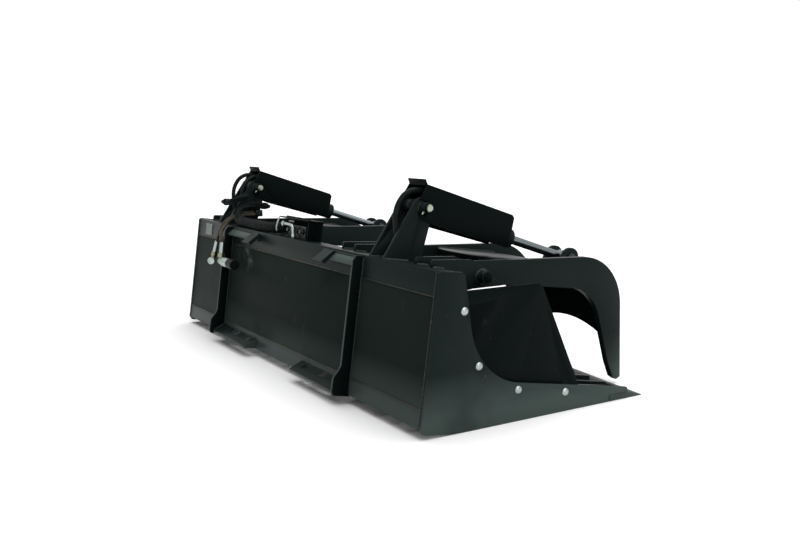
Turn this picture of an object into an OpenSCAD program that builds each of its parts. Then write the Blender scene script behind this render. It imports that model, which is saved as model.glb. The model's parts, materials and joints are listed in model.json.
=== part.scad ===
// Rock grapple attachment in millimetres, +Z up.
// An open tine bucket carries two clamp arms, and a hydraulic cylinder closes each arm.
// X runs along the cutting edge and Y runs forward to it. The floor is z = 0, and the
// middle of the footprint is the origin. Sections are drawn in (y, z) and extruded along X.

/* [Bucket] */
// Width over the two side plates
bucket_width = 2032; // [1980:1:2100]
// Height of the rear top edge over the floor
bucket_height = 501; // [485:1:525]
// Lean of the back, top forward, in degrees
back_lean = 7.7; // [6.5:0.1:9]
// Height of the back's lower rear corner over the floor
foot_z = 31; // [27:1:35]
// Distance from the back's foot to the rear of the cutting edge at the ends
leg_reach = 765; // [740:1:790]
// Thickness of a side plate
side_t = 12; // [10:0.5:14]
// Forward place of the throat corner, as a share of the reach
throat_share = 0.268; // [0.262:0.001:0.28]
// Height of the throat corner
throat_z = 153; // [148:1:160]
// Radius of the throat
throat_radius = 232; // [210:1:240]
// Height of a leg where its nose begins
leg_height = 50; // [46:1:54]
// Thickness of the back sheet
sheet_t = 8; // [6:0.5:9]
// Thickness of the lower rail
rail_t = 12; // [10:0.5:14]
// Height of the lower rail
rail_height = 60; // [56:1:70]

/* [Top beam] */
// Depth of the beam, back to front
beam_depth = 92; // [88:1:96]
// Height of the beam
beam_height = 76; // [72:1:80]
// Wall of the beam
beam_wall = 8; // [6:0.5:10]

/* [Cutting edge] */
// Thickness of the edge bar
edge_t = 19; // [17:0.5:20]
// Depth of the edge bar, back to front
edge_depth = 152; // [140:1:160]
// Length of the bevel
bevel_length = 65; // [60:1:70]
// Thickness left at the front of the bevel
bevel_nose = 2; // [1.5:0.5:3]
// Sweep of each half of the edge, in degrees
nose_angle = 6.6; // [6:0.1:7.2]

/* [Tines] */
// Number of tines
tine_count = 21; // [21:6:21]
// Thickness of a tine
tine_t = 16; // [12:1:20]
// Distance from a side plate's outer face to the middle of the last tine
tine_edge = 96; // [92:1:104]
// Length of a tine's foot on top of the edge
tine_foot = 60; // [50:1:70]

/* [End panels] */
// Thickness of an end panel
panel_t = 8; // [6:0.5:9]
// Gap between the beam and an end panel
panel_gap = 13; // [11:1:15]
// Shank diameter of a panel bolt
bolt_d = 12.4; // [11:0.1:13]
// Head diameter of a panel bolt
bolt_head_d = 27; // [25:0.5:30]

/* [Loader coupling] */
// Width over the two coupling flanges
flange_span = 1150; // [1140:1:1160]
// Thickness of a flange
flange_t = 10; // [9:0.5:12]
// Depth of a flange behind the back
flange_depth = 66; // [62:1:70]
// Inner end of each top lip, from the middle
top_lip_start = 338; // [325:1:350]
// Thickness of a top lip
top_lip_t = 8; // [7:0.5:10]
// Inner end of each bottom lip, from the middle
bottom_lip_start = 213; // [200:1:222]
// Thickness of a bottom lip
bottom_lip_t = 10; // [9:0.5:12]
// Length of a lock pin slot
slot_length = 60; // [56:1:64]
// Width of a lock pin slot
slot_width = 24; // [22:0.5:26]
// First slot's middle, from the middle of the bucket
slot_first = 275; // [270:1:280]
// Distance between the two slots of a lip
slot_pitch = 120; // [110:1:126]

/* [Clamp arms] */
// Distance from the side plate's outer face to the middle of an arm
arm_inset = 401; // [396:1:410]
// Extra inset that the left arm set does not have
left_offset = 60; // [50:1:64]
// Distance between the two plates of an arm, middle to middle
arm_spread = 476; // [460:1:482]
// Thickness of an arm plate
arm_t = 25; // [20:1:28]
// Forward place of the arm pivots
pivot_y = 303; // [298:1:310]
// Depth of the arm pivots under the rear top edge
pivot_below = 49; // [46:1:52]
// Distance that an arm's reach falls short of the bucket's
arm_short = 101; // [96:1:110]
// Radius of an arm plate round its pivot
hub_r = 44; // [40:1:46]
// Thickness of the web between the plates
web_t = 10; // [8:0.5:12]
// Radius of the two arcs cut in the web
web_arc_r = 375; // [360:1:390]

/* [Arm pivots] */
// Diameter of a pivot pin
pivot_pin_d = 31.8; // [28:0.1:34]
// Outer diameter of the bushing in an arm
bushing_od = 60; // [52:1:64]
// Thickness of a hinge ear
ear_t = 12; // [10:0.5:14]
// Distance between the two ears of a pair, middle to middle
ear_pitch = 86; // [84:1:90]
// Outer diameter of the pin collar
collar_od = 42; // [40:1:46]
// Length of the pin collar
collar_length = 32; // [28:1:33]

/* [Cylinders] */
// Inset of a tower from its arm's middle, towards the side plate
tower_shift = 35; // [30:1:40]
// Forward place of the tower pins
tower_pin_y = 214; // [210:1:218]
// Height of the tower pins over the rear top edge
tower_rise = 160; // [156:1:166]
// Thickness of a tower plate
tower_t = 12; // [10:0.5:14]
// Distance between the two tower plates, middle to middle
tower_pitch = 86; // [84:1:90]
// Radius of a tower's head
tower_head_r = 34; // [32:1:36]
// Diameter of the tower pins and rod pins
cyl_pin_d = 25.4; // [24:0.1:26]
// Outer diameter of a barrel
barrel_od = 70; // [69:0.5:71]
// Bore of a barrel
bore_d = 63.5; // [60:0.1:64]
// Place of the barrel's front end along the cylinder
barrel_end = 400; // [396:1:404]
// Diameter of the rod
rod_d = 32; // [28:0.5:34]
// Outer diameter of the cross tube and of the rod eye
eye_od = 50; // [46:1:54]
// Length of the piston
piston_length = 40; // [36:1:44]
// Forward place of a rod pin, as a share of the arm's reach
rod_pin_share = 0.8464; // [0.84:0.0004:0.852]
// Depth of a rod pin under the arm pivot
rod_pin_below = 5; // [3:1:8]
// Distance between the two rod lugs, middle to middle
lug_pitch = 86; // [84:1:90]
// Thickness of a rod lug
lug_t = 16; // [14:0.5:17]
// Radius of a rod lug
lug_r = 38; // [34:1:40]

/* [Cylinder guards] */
// Sheet thickness of a guard
guard_t = 5; // [4:0.5:6]
// Width over a guard's two sides
guard_width = 116; // [114:1:120]
// Length of a guard forward of the tower pin
guard_length = 381.6; // [370:1:390]
// Height of a guard's top over the cylinder's axis
guard_height = 75.7; // [74:0.1:80]

/* [Valve box] */
// Near end of the box, from the middle
box_near = 88; // [80:1:96]
// Length of the box along the beam
box_length = 248; // [240:1:256]
// Depth of the box
box_depth = 62; // [56:1:62]
// Height of the box
box_height = 78; // [76:1:84]
// Sheet thickness of the box
box_t = 5; // [4:0.5:6]

/* [Hidden] */
$fn = 48;

// One overrun for every cut, and one running clearance for every turning or sliding fit
over = 1;
run_gap = 0.1;
slide_gap = 0.05;
// Side gap between a turning piece and the plates beside it
side_gap = 1;

// Frame of the bucket
half_w = bucket_width / 2;
inner_x = half_w - side_t;
throat_y = throat_share * leg_reach;
tine_pitch = 2 * (half_w - tine_edge) / (tine_count - 1);
back_length = (bucket_height - foot_z) / cos(back_lean);
nose_y = leg_reach + half_w * tan(nose_angle) + edge_depth / cos(nose_angle);

function unit(v) = v / norm(v);
function yz(p) = [p.x, p.y];
function back_pt(v, u) = [v * cos(back_lean) + u * sin(back_lean),
  foot_z - v * sin(back_lean) + u * cos(back_lean)];
function back_u(p) = p.x * sin(back_lean) + (p.y - foot_z) * cos(back_lean);
function arc(c, r, a0, a1, n) = [for (i = [0:n])
  let (a = a0 + (a1 - a0) * i / n) c + r * [cos(a), sin(a)]];
function wrapped(a) = a > 180 ? a - 360 : a < -180 ? a + 360 : a;
function bend(a, p, b, r, n) =
  let (u = unit(a - p), w = unit(b - p), half = acos(u * w) / 2,
    d = r / tan(half), c = p + unit(u + w) * r / sin(half),
    s = p + u * d - c, e = p + w * d - c,
    s_a = atan2(s.y, s.x), turn = wrapped(atan2(e.y, e.x) - s_a))
  [for (i = [0:n]) c + r * [cos(s_a + turn * i / n), sin(s_a + turn * i / n)]];
function steps(r) = r > 2 * leg_height ? 16 : 6;
// Rows are [y, z, corner radius]
function outline(t) = let (n = len(t)) [for (i = [0:n - 1])
  each (t[i].z > 0 ? bend(yz(t[(i + n - 1) % n]), yz(t[i]), yz(t[(i + 1) % n]), t[i].z, steps(t[i].z))
    : [yz(t[i])])];
function scaled(shares, w, h) = [for (p = shares) [p.x * w, p.y * h, p.z * w]];
function moved(t, c) = [for (p = t) [p.x + c.x, p.y + c.y, p.z]];
function corner(p, r) = [p.x, p.y, r];
// Normal on the right of a path's direction, and the path's corner moved that way
function side_of(a, b) = let (d = unit(b - a)) [d.y, -d.x];
function inset(t, i, w) = let (n = len(t),
    a = i > 0 ? side_of(yz(t[i - 1]), yz(t[i])) : side_of(yz(t[0]), yz(t[1])),
    b = i < n - 1 ? side_of(yz(t[i]), yz(t[i + 1])) : a)
  yz(t[i]) + (a + b) * w / (1 + a * b);
function strip(t, w) = let (n = len(t)) concat(t,
  [for (i = [n - 1:-1:0]) corner(inset(t, i, w), max(0, t[i].z - w))]);

module at_back() translate([0, 0, foot_z]) rotate([-back_lean, 0, 0]) children();
module plate(x, t) translate([x, 0, 0]) rotate([90, 0, 90]) linear_extrude(t) children();
module box(a, b) translate(a) cube(b - a);
module cross_rod(x0, x1, c, r) translate([x0, c.x, c.y]) rotate([0, 90, 0]) cylinder(h = x1 - x0, r = r);
module rod_between(a, b, r) {
  d = b - a;
  translate(a) rotate([0, acos(d.z / norm(d)), atan2(d.y, d.x)]) cylinder(h = norm(d), r = r);
}
module left_side() translate([-left_offset, 0, 0]) mirror([1, 0, 0]) children();
module mirrored() mirror([1, 0, 0]) children();

// Side plates ------------------------------------------------------------------------
belly_share = 0.148;
sole_share = 0.234;
belly_rise_share = 0.065;
heel_shares = [0.29, 0.48, 0.26];
toe_length = 87;
toe_slope = 5;
top_front_r = 10;
top_rear_r = 6;
toe_r = 3;
top_rear = back_pt(0, back_length);
top_front = back_pt(beam_depth, back_length);
side_rows = [
  corner(back_pt(0, 0), 0),
  [heel_shares.x * foot_z, heel_shares.y * foot_z, heel_shares.z * foot_z],
  [belly_share * leg_reach, belly_rise_share * foot_z, 0],
  [sole_share * leg_reach, 0, 0],
  [leg_reach, 0, 0],
  [leg_reach, edge_t, 0],
  [leg_reach + toe_length, edge_t, 0],
  [leg_reach + toe_length - toe_slope, 2 * edge_t, toe_r],
  [leg_reach + leg_height / 2, leg_height, 0],
  [throat_y, throat_z, throat_radius],
  corner(top_front, top_front_r),
  corner(top_rear, top_rear_r)
];
bolt_gap = 0.4;
bolt_shares = [[0.203, 0.7465], [0.277, 0.396], [0.48, 0.2016], [0.7386, 0.1277]];
function bolt_at(i) = [bolt_shares[i].x * leg_reach, bolt_shares[i].y * bucket_height];
module bolt_holes(x0, x1) for (i = [0:len(bolt_shares) - 1])
  cross_rod(x0, x1, bolt_at(i), bolt_d / 2 + bolt_gap);
module side_plate() difference() {
  plate(inner_x, side_t) polygon(outline(side_rows));
  bolt_holes(inner_x - over, half_w + over);
}
module side_plate_right() color("#232a2a") side_plate();
module side_plate_left() color("#232a2a") mirrored() side_plate();

// Back -------------------------------------------------------------------------------
beam_floor = back_length - beam_height;
module top_beam() color("#262d2d") at_back() difference() {
  box([-inner_x, 0, beam_floor], [inner_x, beam_depth, back_length]);
  box([-inner_x - over, beam_wall, beam_floor + beam_wall],
    [inner_x + over, beam_depth - beam_wall, back_length - beam_wall]);
}
module back_sheet() color("#202626") at_back()
  box([-inner_x, 0, rail_height], [inner_x, sheet_t, beam_floor]);
module lower_rail() color("#242b2b") at_back()
  box([-inner_x, 0, 0], [inner_x, rail_t, rail_height]);

// Cutting edge -----------------------------------------------------------------------
function edge_rear(x) = leg_reach + (half_w - abs(x)) * tan(nose_angle);
function edge_front(x) = edge_rear(x) + edge_depth / cos(nose_angle);
function edge_height(x, y) = min(edge_t,
  bevel_nose + max(0, edge_front(x) - y) * (edge_t - bevel_nose) / bevel_length);
edge_section = [[0, 0], [edge_depth, 0], [edge_depth, bevel_nose],
  [edge_depth - bevel_length, edge_t], [0, edge_t]];
module edge_half() intersection() {
  translate([0, edge_rear(0), 0]) rotate([0, 0, -nose_angle])
    plate(-edge_depth, half_w / cos(nose_angle) + 2 * edge_depth) polygon(edge_section);
  box([0, 0, -over], [half_w, nose_y + over, edge_t + over]);
}
module cutting_edge() color("#2b3231") union() {
  edge_half();
  mirrored() edge_half();
}

// Tines ------------------------------------------------------------------------------
tine_rise = 18;
tine_top = let (a = [throat_y, throat_z], t = (beam_floor - back_u(a)) / (back_u(top_front) - back_u(a)))
  a + t * (top_front - a);
module tine(x) {
  rear = edge_rear(abs(x) + tine_t / 2);
  rows = [
    corner(back_pt(rail_t, 0), 0),
    [belly_share * leg_reach, belly_rise_share * foot_z, 0],
    [sole_share * leg_reach, 0, 0],
    [rear, 0, 0],
    [rear, edge_t, 0],
    [rear + tine_foot, edge_t, 0],
    [rear + tine_foot, edge_t + tine_rise, toe_r],
    [throat_y, throat_z, throat_radius],
    corner(tine_top, 0),
    corner(back_pt(sheet_t, beam_floor), 0),
    corner(back_pt(sheet_t, rail_height), 0),
    corner(back_pt(rail_t, rail_height), 0)
  ];
  plate(x - tine_t / 2, tine_t) polygon(outline(rows));
}
tine_third = floor(tine_count / 3);
module tine_row(first) for (i = [first:first + tine_third - 1])
  tine((i - (tine_count - 1) / 2) * tine_pitch);
module tines_left() color("#1c2222") tine_row(0);
module tines_middle() color("#1c2222") tine_row(tine_third);
module tines_right() color("#1c2222") tine_row(2 * tine_third);

// End panels -------------------------------------------------------------------------
panel_top_share = 0.864;
panel_rear_share = 0.1725;
panel_shares = [[0.605, 0.864, 0.046], [0.837, 0.12, 0], [0.784, 0.08, 0],
  [0.48, 0.152, 0], [0.248, 0.359, 0], [0.1725, 0.703, 0]];
beam_corner = back_pt(beam_depth, beam_floor);
panel_rows = concat(
  [[beam_corner.x + 2 * panel_gap, panel_top_share * bucket_height, 0]],
  scaled(panel_shares, leg_reach, bucket_height),
  [[panel_rear_share * leg_reach, beam_corner.y - panel_gap, 0],
    [beam_corner.x + 2 * panel_gap, beam_corner.y - panel_gap, 0]]);
module end_panel() difference() {
  plate(inner_x - panel_t, panel_t) polygon(outline(panel_rows));
  bolt_holes(inner_x - panel_t - over, inner_x + over);
}
module end_panel_right() color("#161b1b") end_panel();
module end_panel_left() color("#161b1b") mirrored() end_panel();

// Carriage bolts with a washer and a nut inside
head_rise_share = 0.26;
washer_share = 1.04;
washer_t = 2.5;
nut_af_share = 1.7;
nut_h_share = 0.8;
module panel_bolt(c) {
  rise = head_rise_share * bolt_head_d;
  dome_r = (bolt_head_d * bolt_head_d / 4 + rise * rise) / (2 * rise);
  nut_x = inner_x - panel_t - washer_t;
  translate([0, c.x, c.y]) rotate([0, 90, 0]) {
    translate([0, 0, half_w]) intersection() {
      translate([0, 0, rise - dome_r]) sphere(r = dome_r);
      cylinder(h = rise, r = bolt_head_d / 2);
    }
    translate([0, 0, nut_x - nut_h_share * bolt_d - bolt_d / 3])
      cylinder(h = half_w - nut_x + nut_h_share * bolt_d + bolt_d / 3, r = bolt_d / 2);
    translate([0, 0, nut_x]) cylinder(h = washer_t, r = washer_share * bolt_head_d / 2);
    translate([0, 0, nut_x - nut_h_share * bolt_d])
      cylinder(h = nut_h_share * bolt_d, r = nut_af_share * bolt_d / sqrt(3), $fn = 6);
  }
}
module panel_bolts() for (i = [0:len(bolt_shares) - 1]) panel_bolt(bolt_at(i));
module panel_bolts_right() color("#b9bfbf") panel_bolts();
module panel_bolts_left() color("#b9bfbf") mirrored() panel_bolts();

// Loader coupling --------------------------------------------------------------------
flange_x = flange_span / 2 - flange_t;
flange_shares = [[0, 0.991, 0], [-0.424, 0.991, 0.12], [-0.606, 0.955, 0], [-0.606, 0.213, 0],
  [-0.727, 0.175, 0], [-0.97, 0.1286, 0], [-1, 0.0253, 0.15], [-0.909, 0, 0], [0, -0.0084, 0]];
flange_outline = outline(scaled(flange_shares, flange_depth, back_length));
module coupler_flange() at_back() plate(flange_x, flange_t) polygon(flange_outline);
module coupler_flange_right() color("#232a2a") coupler_flange();
module coupler_flange_left() color("#232a2a") mirrored() coupler_flange();
rear_y = min([for (p = flange_outline) back_pt(p.x, p.y).x]);
mid_y = (nose_y + rear_y) / 2;

// Top lips that the loader's plate hooks under, with a small stop pad at the inner end
lip_top_share = 0.978;
lip_reach = 27;
lip_drop = 25;
pad_length = 45;
pad_height = 30;
lip_rows = [[0, lip_top_share * back_length, 0],
  [-lip_reach, lip_top_share * back_length - lip_drop, 0]];
module top_lip() at_back() {
  flat = concat([yz(lip_rows[0]), yz(lip_rows[1])],
    [yz(lip_rows[1]) + top_lip_t * unit([lip_drop, -lip_reach])],
    [[0, lip_rows[0].y - top_lip_t * norm([lip_reach, lip_drop]) / lip_reach]]);
  plate(top_lip_start, flange_x - top_lip_start) polygon(flat);
  box([top_lip_start - pad_length, -top_lip_t, lip_rows[0].y - pad_height],
    [top_lip_start, 0, lip_rows[0].y]);
}
module top_lip_right() color("#262d2d") top_lip();
module top_lip_left() color("#262d2d") mirrored() top_lip();

// Bottom lips with the two lock pin slots
foot_lip_u = 43;
foot_lip_reach = 52;
foot_lip_drop = 32;
slot_start = 6;
gusset_t = 8;
foot_lip_length = norm([foot_lip_reach, foot_lip_drop]);
foot_lip_angle = atan2(foot_lip_drop, foot_lip_reach);
module on_foot_lip() translate([0, 0, foot_lip_u]) rotate([foot_lip_angle, 0, 0]) children();
module bottom_lip() at_back() {
  under = foot_lip_u - bottom_lip_t / cos(foot_lip_angle);
  front = [-foot_lip_reach, foot_lip_u - foot_lip_drop];
  low = front + bottom_lip_t * [sin(foot_lip_angle), -cos(foot_lip_angle)];
  difference() {
    plate(bottom_lip_start, flange_x - bottom_lip_start) polygon([[0, foot_lip_u], front, low, [0, under]]);
    for (i = [0:1]) on_foot_lip() box(
      [slot_first + i * slot_pitch - slot_length / 2, -slot_start - slot_width, -bottom_lip_t - over],
      [slot_first + i * slot_pitch + slot_length / 2, -slot_start, over]);
  }
  plate(bottom_lip_start, gusset_t) polygon([[0, under], low, [0, bevel_nose]]);
}
module bottom_lip_right() color("#262d2d") bottom_lip();
module bottom_lip_left() color("#262d2d") mirrored() bottom_lip();

// Arm pivots -------------------------------------------------------------------------
arm_x = half_w - arm_inset;
outer_x = arm_x + arm_spread / 2;
inner_arm_x = arm_x - arm_spread / 2;
pivot = [pivot_y, bucket_height - pivot_below];
pin_r = pivot_pin_d / 2;
ear_top = 24;
ear_nose_r = 32;
ear_front_share = 0.83;
ear_heel_v = 50;
ear_belly_share = 0.84;
ear_lip_r = 6;
ear_rows = concat(
  [back_pt(ear_heel_v, back_length)],
  bend(back_pt(ear_heel_v, back_length), back_pt(ear_heel_v, back_length + ear_top),
    pivot + ear_nose_r * [-1.25, 1.78], ear_lip_r, 6),
  [pivot + ear_nose_r * [-1.25, 1.78]],
  arc(pivot, ear_nose_r, 55, -75, 14),
  [[pivot.x - ear_nose_r * 1.66, beam_corner.y]],
  [beam_corner],
  [top_front]);
pin_end = 4;
cross_bolt_r = 4;
module ear(x) difference() {
  plate(x - ear_t / 2, ear_t) polygon(ear_rows);
  cross_rod(x - ear_t, x + ear_t, pivot, pin_r + run_gap);
}
// The pair is drawn with its collar on the +X side
module ear_pair(x) {
  collar_x = x + (ear_pitch + ear_t) / 2;
  ear(x - ear_pitch / 2);
  ear(x + ear_pitch / 2);
  difference() {
    cross_rod(collar_x, collar_x + collar_length, pivot, collar_od / 2);
    cross_rod(collar_x - over, collar_x + collar_length + over, pivot, pin_r + run_gap);
    rod_between([collar_x + collar_length / 2, pivot.x - collar_od, pivot.y],
      [collar_x + collar_length / 2, pivot.x + collar_od, pivot.y], cross_bolt_r + run_gap);
  }
}
module pivot_pin(x) {
  collar_x = x + (ear_pitch + ear_t) / 2;
  cross_rod(x - (ear_pitch + ear_t) / 2 - pin_end, collar_x + collar_length, pivot, pin_r);
  cross_rod(collar_x + collar_length, collar_x + collar_length + pin_end, pivot, pin_r - pin_end / 2);
  rod_between([collar_x + collar_length / 2, pivot.x - 0.7 * collar_od, pivot.y],
    [collar_x + collar_length / 2, pivot.x + 0.7 * collar_od, pivot.y], cross_bolt_r);
  for (s = [-1, 1]) rod_between([collar_x + collar_length / 2, pivot.x + s * (collar_od / 2 + run_gap), pivot.y],
    [collar_x + collar_length / 2, pivot.x + s * 0.62 * collar_od, pivot.y], 1.7 * cross_bolt_r);
}
module inner_turned() translate([2 * inner_arm_x, 0, 0]) mirror([1, 0, 0]) children();
module hinge_ears() {
  ear_pair(outer_x);
  inner_turned() ear_pair(inner_arm_x);
}
module hinge_pins() {
  pivot_pin(outer_x);
  inner_turned() pivot_pin(inner_arm_x);
}
module hinge_ears_right() color("#242b2b") hinge_ears();
module hinge_ears_left() color("#242b2b") left_side() hinge_ears();
module hinge_pins_right() color("#3a4140") hinge_pins();
module hinge_pins_left() color("#3a4140") left_side() hinge_pins();

// Clamp arms -------------------------------------------------------------------------
tip_gap = 3.3;
arm_reach = leg_reach - arm_short;
tip_y = pivot.x + arm_reach;
tip_z = edge_height(inner_arm_x - arm_t / 2, tip_y - 0.8 * edge_t) + tip_gap;
arm_drop = pivot.y - tip_z;
arm_shares = [[0.9714, 0.039, 0.283], [1, -0.9816, 0.006], [0.9699, -1, 0], [0.9428, -0.97, 0],
  [0.905, -0.8368, 0], [0.7816, -0.2115, 0.241], [0.1958, -0.0989, 0]];
hub_steps = 16;
arm_rows = concat([for (p = arc(pivot, hub_r, 270, 90, hub_steps)) corner(p, 0)],
  moved(scaled(arm_shares, arm_reach, arm_drop), pivot));
bushing_length = ear_pitch - ear_t - 2 * side_gap;
module arm_plate(x) difference() {
  union() {
    plate(x - arm_t / 2, arm_t) polygon(outline(arm_rows));
    for (s = [0, 1]) translate([x, 0, 0]) mirror([s, 0, 0])
      cross_rod(arm_t / 2, bushing_length / 2, pivot, bushing_od / 2);
  }
  cross_rod(x - bushing_length, x + bushing_length, pivot, pin_r + run_gap);
}
module arm_outer_plate_right() color("#252c2c") arm_plate(outer_x);
module arm_inner_plate_right() color("#252c2c") arm_plate(inner_arm_x);
module arm_outer_plate_left() color("#252c2c") left_side() arm_plate(outer_x);
module arm_inner_plate_left() color("#252c2c") left_side() arm_plate(inner_arm_x);

web_shares = [[0.164, 0.0874, 0], [0.6657, -0.0161, 0.045], [0.9367, -0.292, 0.045], [0.9669, -0.7126, 0]];
web_rows = moved(scaled(web_shares, arm_reach, arm_drop), pivot);
web_half = (arm_spread - arm_t) / 2;
web_arch = web_rows[3].y + web_arc_r - sqrt(web_arc_r * web_arc_r - web_half * web_half);
module arm_web() difference() {
  intersection() {
    plate(arm_x - web_half, 2 * web_half) polygon(outline(strip(web_rows, web_t)));
    union() {
      translate([arm_x, web_rows[0].x + web_arc_r, 0]) cylinder(h = bucket_height * 2, r = web_arc_r, $fn = 96);
      box([arm_x - arm_spread, web_rows[0].x + web_arc_r, 0],
        [arm_x + arm_spread, 2 * nose_y, bucket_height * 2]);
    }
  }
  rod_between([arm_x, web_rows[2].x - arm_spread / 2, web_arch - web_arc_r],
    [arm_x, tip_y, web_arch - web_arc_r], web_arc_r, $fn = 96);
}
module arm_web_right() color("#222929") arm_web();
module arm_web_left() color("#222929") left_side() arm_web();

// Rod lugs on the web's front slope
rod_pin = [pivot.x + rod_pin_share * arm_reach, pivot.y - rod_pin_below];
lug_foot_shares = [0.278, 0.878];
rod_x = arm_x + tower_shift;
cyl_pin_r = cyl_pin_d / 2;
function on_slope(s) = yz(web_rows[1]) + s * (yz(web_rows[2]) - yz(web_rows[1]));
function tangent_angle(p, c, r, side) = let (d = c - p) atan2(d.y, d.x) + side * (asin(r / norm(d)) + 90) ;
lug_rear = on_slope(lug_foot_shares[0]);
lug_front = on_slope(lug_foot_shares[1]);
lug_a0 = tangent_angle(lug_front, rod_pin, lug_r, -1);
lug_a1 = tangent_angle(lug_rear, rod_pin, lug_r, 1);
lug_outline = concat([lug_rear, lug_front], arc(rod_pin, lug_r, lug_a0, lug_a1, 16));
module rod_lugs() for (s = [-1, 1]) difference() {
  plate(rod_x + s * lug_pitch / 2 - lug_t / 2, lug_t) polygon(lug_outline);
  cross_rod(rod_x + s * lug_pitch / 2 - lug_t, rod_x + s * lug_pitch / 2 + lug_t, rod_pin, cyl_pin_r + run_gap);
}
module rod_lugs_right() color("#252c2c") rod_lugs();
module rod_lugs_left() color("#252c2c") left_side() rod_lugs();

// The rod pin's ends sit in the lugs, and its middle is one with the rod eye
eye_length = lug_pitch - lug_t - 4 * side_gap;
pin_head_t = 5;
module rod_pin_ends() for (s = [0, 1]) translate([rod_x, 0, 0]) mirror([s, 0, 0]) {
  start = eye_length / 2 + 1.5 * side_gap;
  face = (lug_pitch + lug_t) / 2;
  cross_rod(start, face + pin_head_t + 3 * side_gap, rod_pin, cyl_pin_r);
  cross_rod(face, face + pin_head_t, rod_pin, 1.4 * cyl_pin_r);
}
module rod_pin_ends_right() color("#8d9494") rod_pin_ends();
module rod_pin_ends_left() color("#8d9494") left_side() rod_pin_ends();

// Towers -----------------------------------------------------------------------------
tower_pin = [tower_pin_y, bucket_height + tower_rise];
tower_foot_drop = 21;
boss_od = 35;
boss_length = 36;
tower_knee_share = 0.42;
tower_waist_share = 0.62;
tower_rows = concat(
  [top_rear],
  [for (i = [0:16]) let (a = tangent_angle(top_rear, tower_pin, tower_head_r, 1) ) tower_pin
    + tower_head_r * [cos(a + (-17.5 - a) * i / 16), sin(a + (-17.5 - a) * i / 16)]],
  [[tower_pin.x + 0.81 * tower_head_r, tower_pin.y - 1.7 * tower_head_r]],
  [[top_front.x + 0.6 * beam_depth, top_rear.y]],
  [back_pt(beam_depth, back_length - 0.72 * beam_height)],
  [top_front]);
module tower() {
  for (s = [0, 1]) translate([rod_x, 0, 0]) mirror([s, 0, 0]) difference() {
    union() {
      plate((tower_pitch - tower_t) / 2, tower_t) polygon(tower_rows);
      cross_rod((tower_pitch + tower_t) / 2, (tower_pitch + tower_t) / 2 + boss_length, tower_pin, boss_od / 2);
    }
    cross_rod(0, tower_pitch + boss_length, tower_pin, cyl_pin_r + run_gap);
  }
}
module tower_right() color("#252c2c") tower();
module tower_left() color("#252c2c") left_side() tower();

nipple_r = 3.5;
nipple_h = 9;
module tower_pin_piece() {
  reach = (tower_pitch + tower_t) / 2 + boss_length;
  cross_rod(rod_x - reach - pin_end, rod_x + reach + pin_end, tower_pin, cyl_pin_r);
  for (s = [-1, 1]) cross_rod(rod_x + s * (reach + pin_end + nipple_r / 2) - nipple_r / 2,
    rod_x + s * (reach + pin_end + nipple_r / 2) + nipple_r / 2, tower_pin, cyl_pin_r - nipple_r / 2);
}
module tower_pin_right() color("#a3a9a8") tower_pin_piece();
module tower_pin_left() color("#a3a9a8") left_side() tower_pin_piece();

// Cylinders, drawn along local Y from the tower pin ------------------------------------
cyl_vec = rod_pin - tower_pin;
cyl_length = norm(cyl_vec);
cyl_slope = -atan2(cyl_vec.y, cyl_vec.x);
barrel_r = barrel_od / 2;
base_start = 18;
base_end = 42;
cross_tube_length = tower_pitch - tower_t - 3 * side_gap;
module at_pin() translate([rod_x, tower_pin.x, tower_pin.y]) rotate([-cyl_slope, 0, 0]) children();
module along(s0, s1, r) rod_between([0, s0, 0], [0, s1, 0], r);
module barrel() at_pin() difference() {
  union() {
    cross_rod(-cross_tube_length / 2, cross_tube_length / 2, [0, 0], eye_od / 2);
    along(base_start, barrel_end, barrel_r);
  }
  along(base_end, barrel_end + over, bore_d / 2);
  cross_rod(-cross_tube_length, cross_tube_length, [0, 0], cyl_pin_r + run_gap);
}
module barrel_right() color("#1e2424") barrel();
module barrel_left() color("#1e2424") left_side() barrel();

gland_head = 18;
gland_spigot = 20;
module gland() at_pin() difference() {
  union() {
    along(barrel_end, barrel_end + gland_head, barrel_r);
    along(barrel_end - gland_spigot, barrel_end, bore_d / 2 - slide_gap);
  }
  along(barrel_end - gland_spigot - over, barrel_end + gland_head + over, rod_d / 2 + slide_gap);
}
module gland_right() color("#2c3333") gland();
module gland_left() color("#2c3333") left_side() gland();

// The rod is drawn out, as it is with the arm closed
piston_front = barrel_end - gland_spigot - 4 * side_gap;
spigot_share = 0.78;
rod_spigot_r = spigot_share * rod_d / 2;
module rod() at_pin() {
  along(piston_front - piston_length - 3 * side_gap, piston_front, rod_spigot_r);
  along(piston_front, cyl_length, rod_d / 2);
  cross_rod(-eye_length / 2, eye_length / 2, [cyl_length, 0], eye_od / 2);
}
module piston() at_pin() difference() {
  along(piston_front - piston_length, piston_front, bore_d / 2 - slide_gap);
  along(piston_front - piston_length - over, piston_front + over, rod_spigot_r + slide_gap);
}
module rod_right() color("#9aa3a8") rod();
module rod_left() color("#9aa3a8") left_side() rod();
module piston_right() color("#8a8f90") piston();
module piston_left() color("#8a8f90") left_side() piston();

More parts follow.
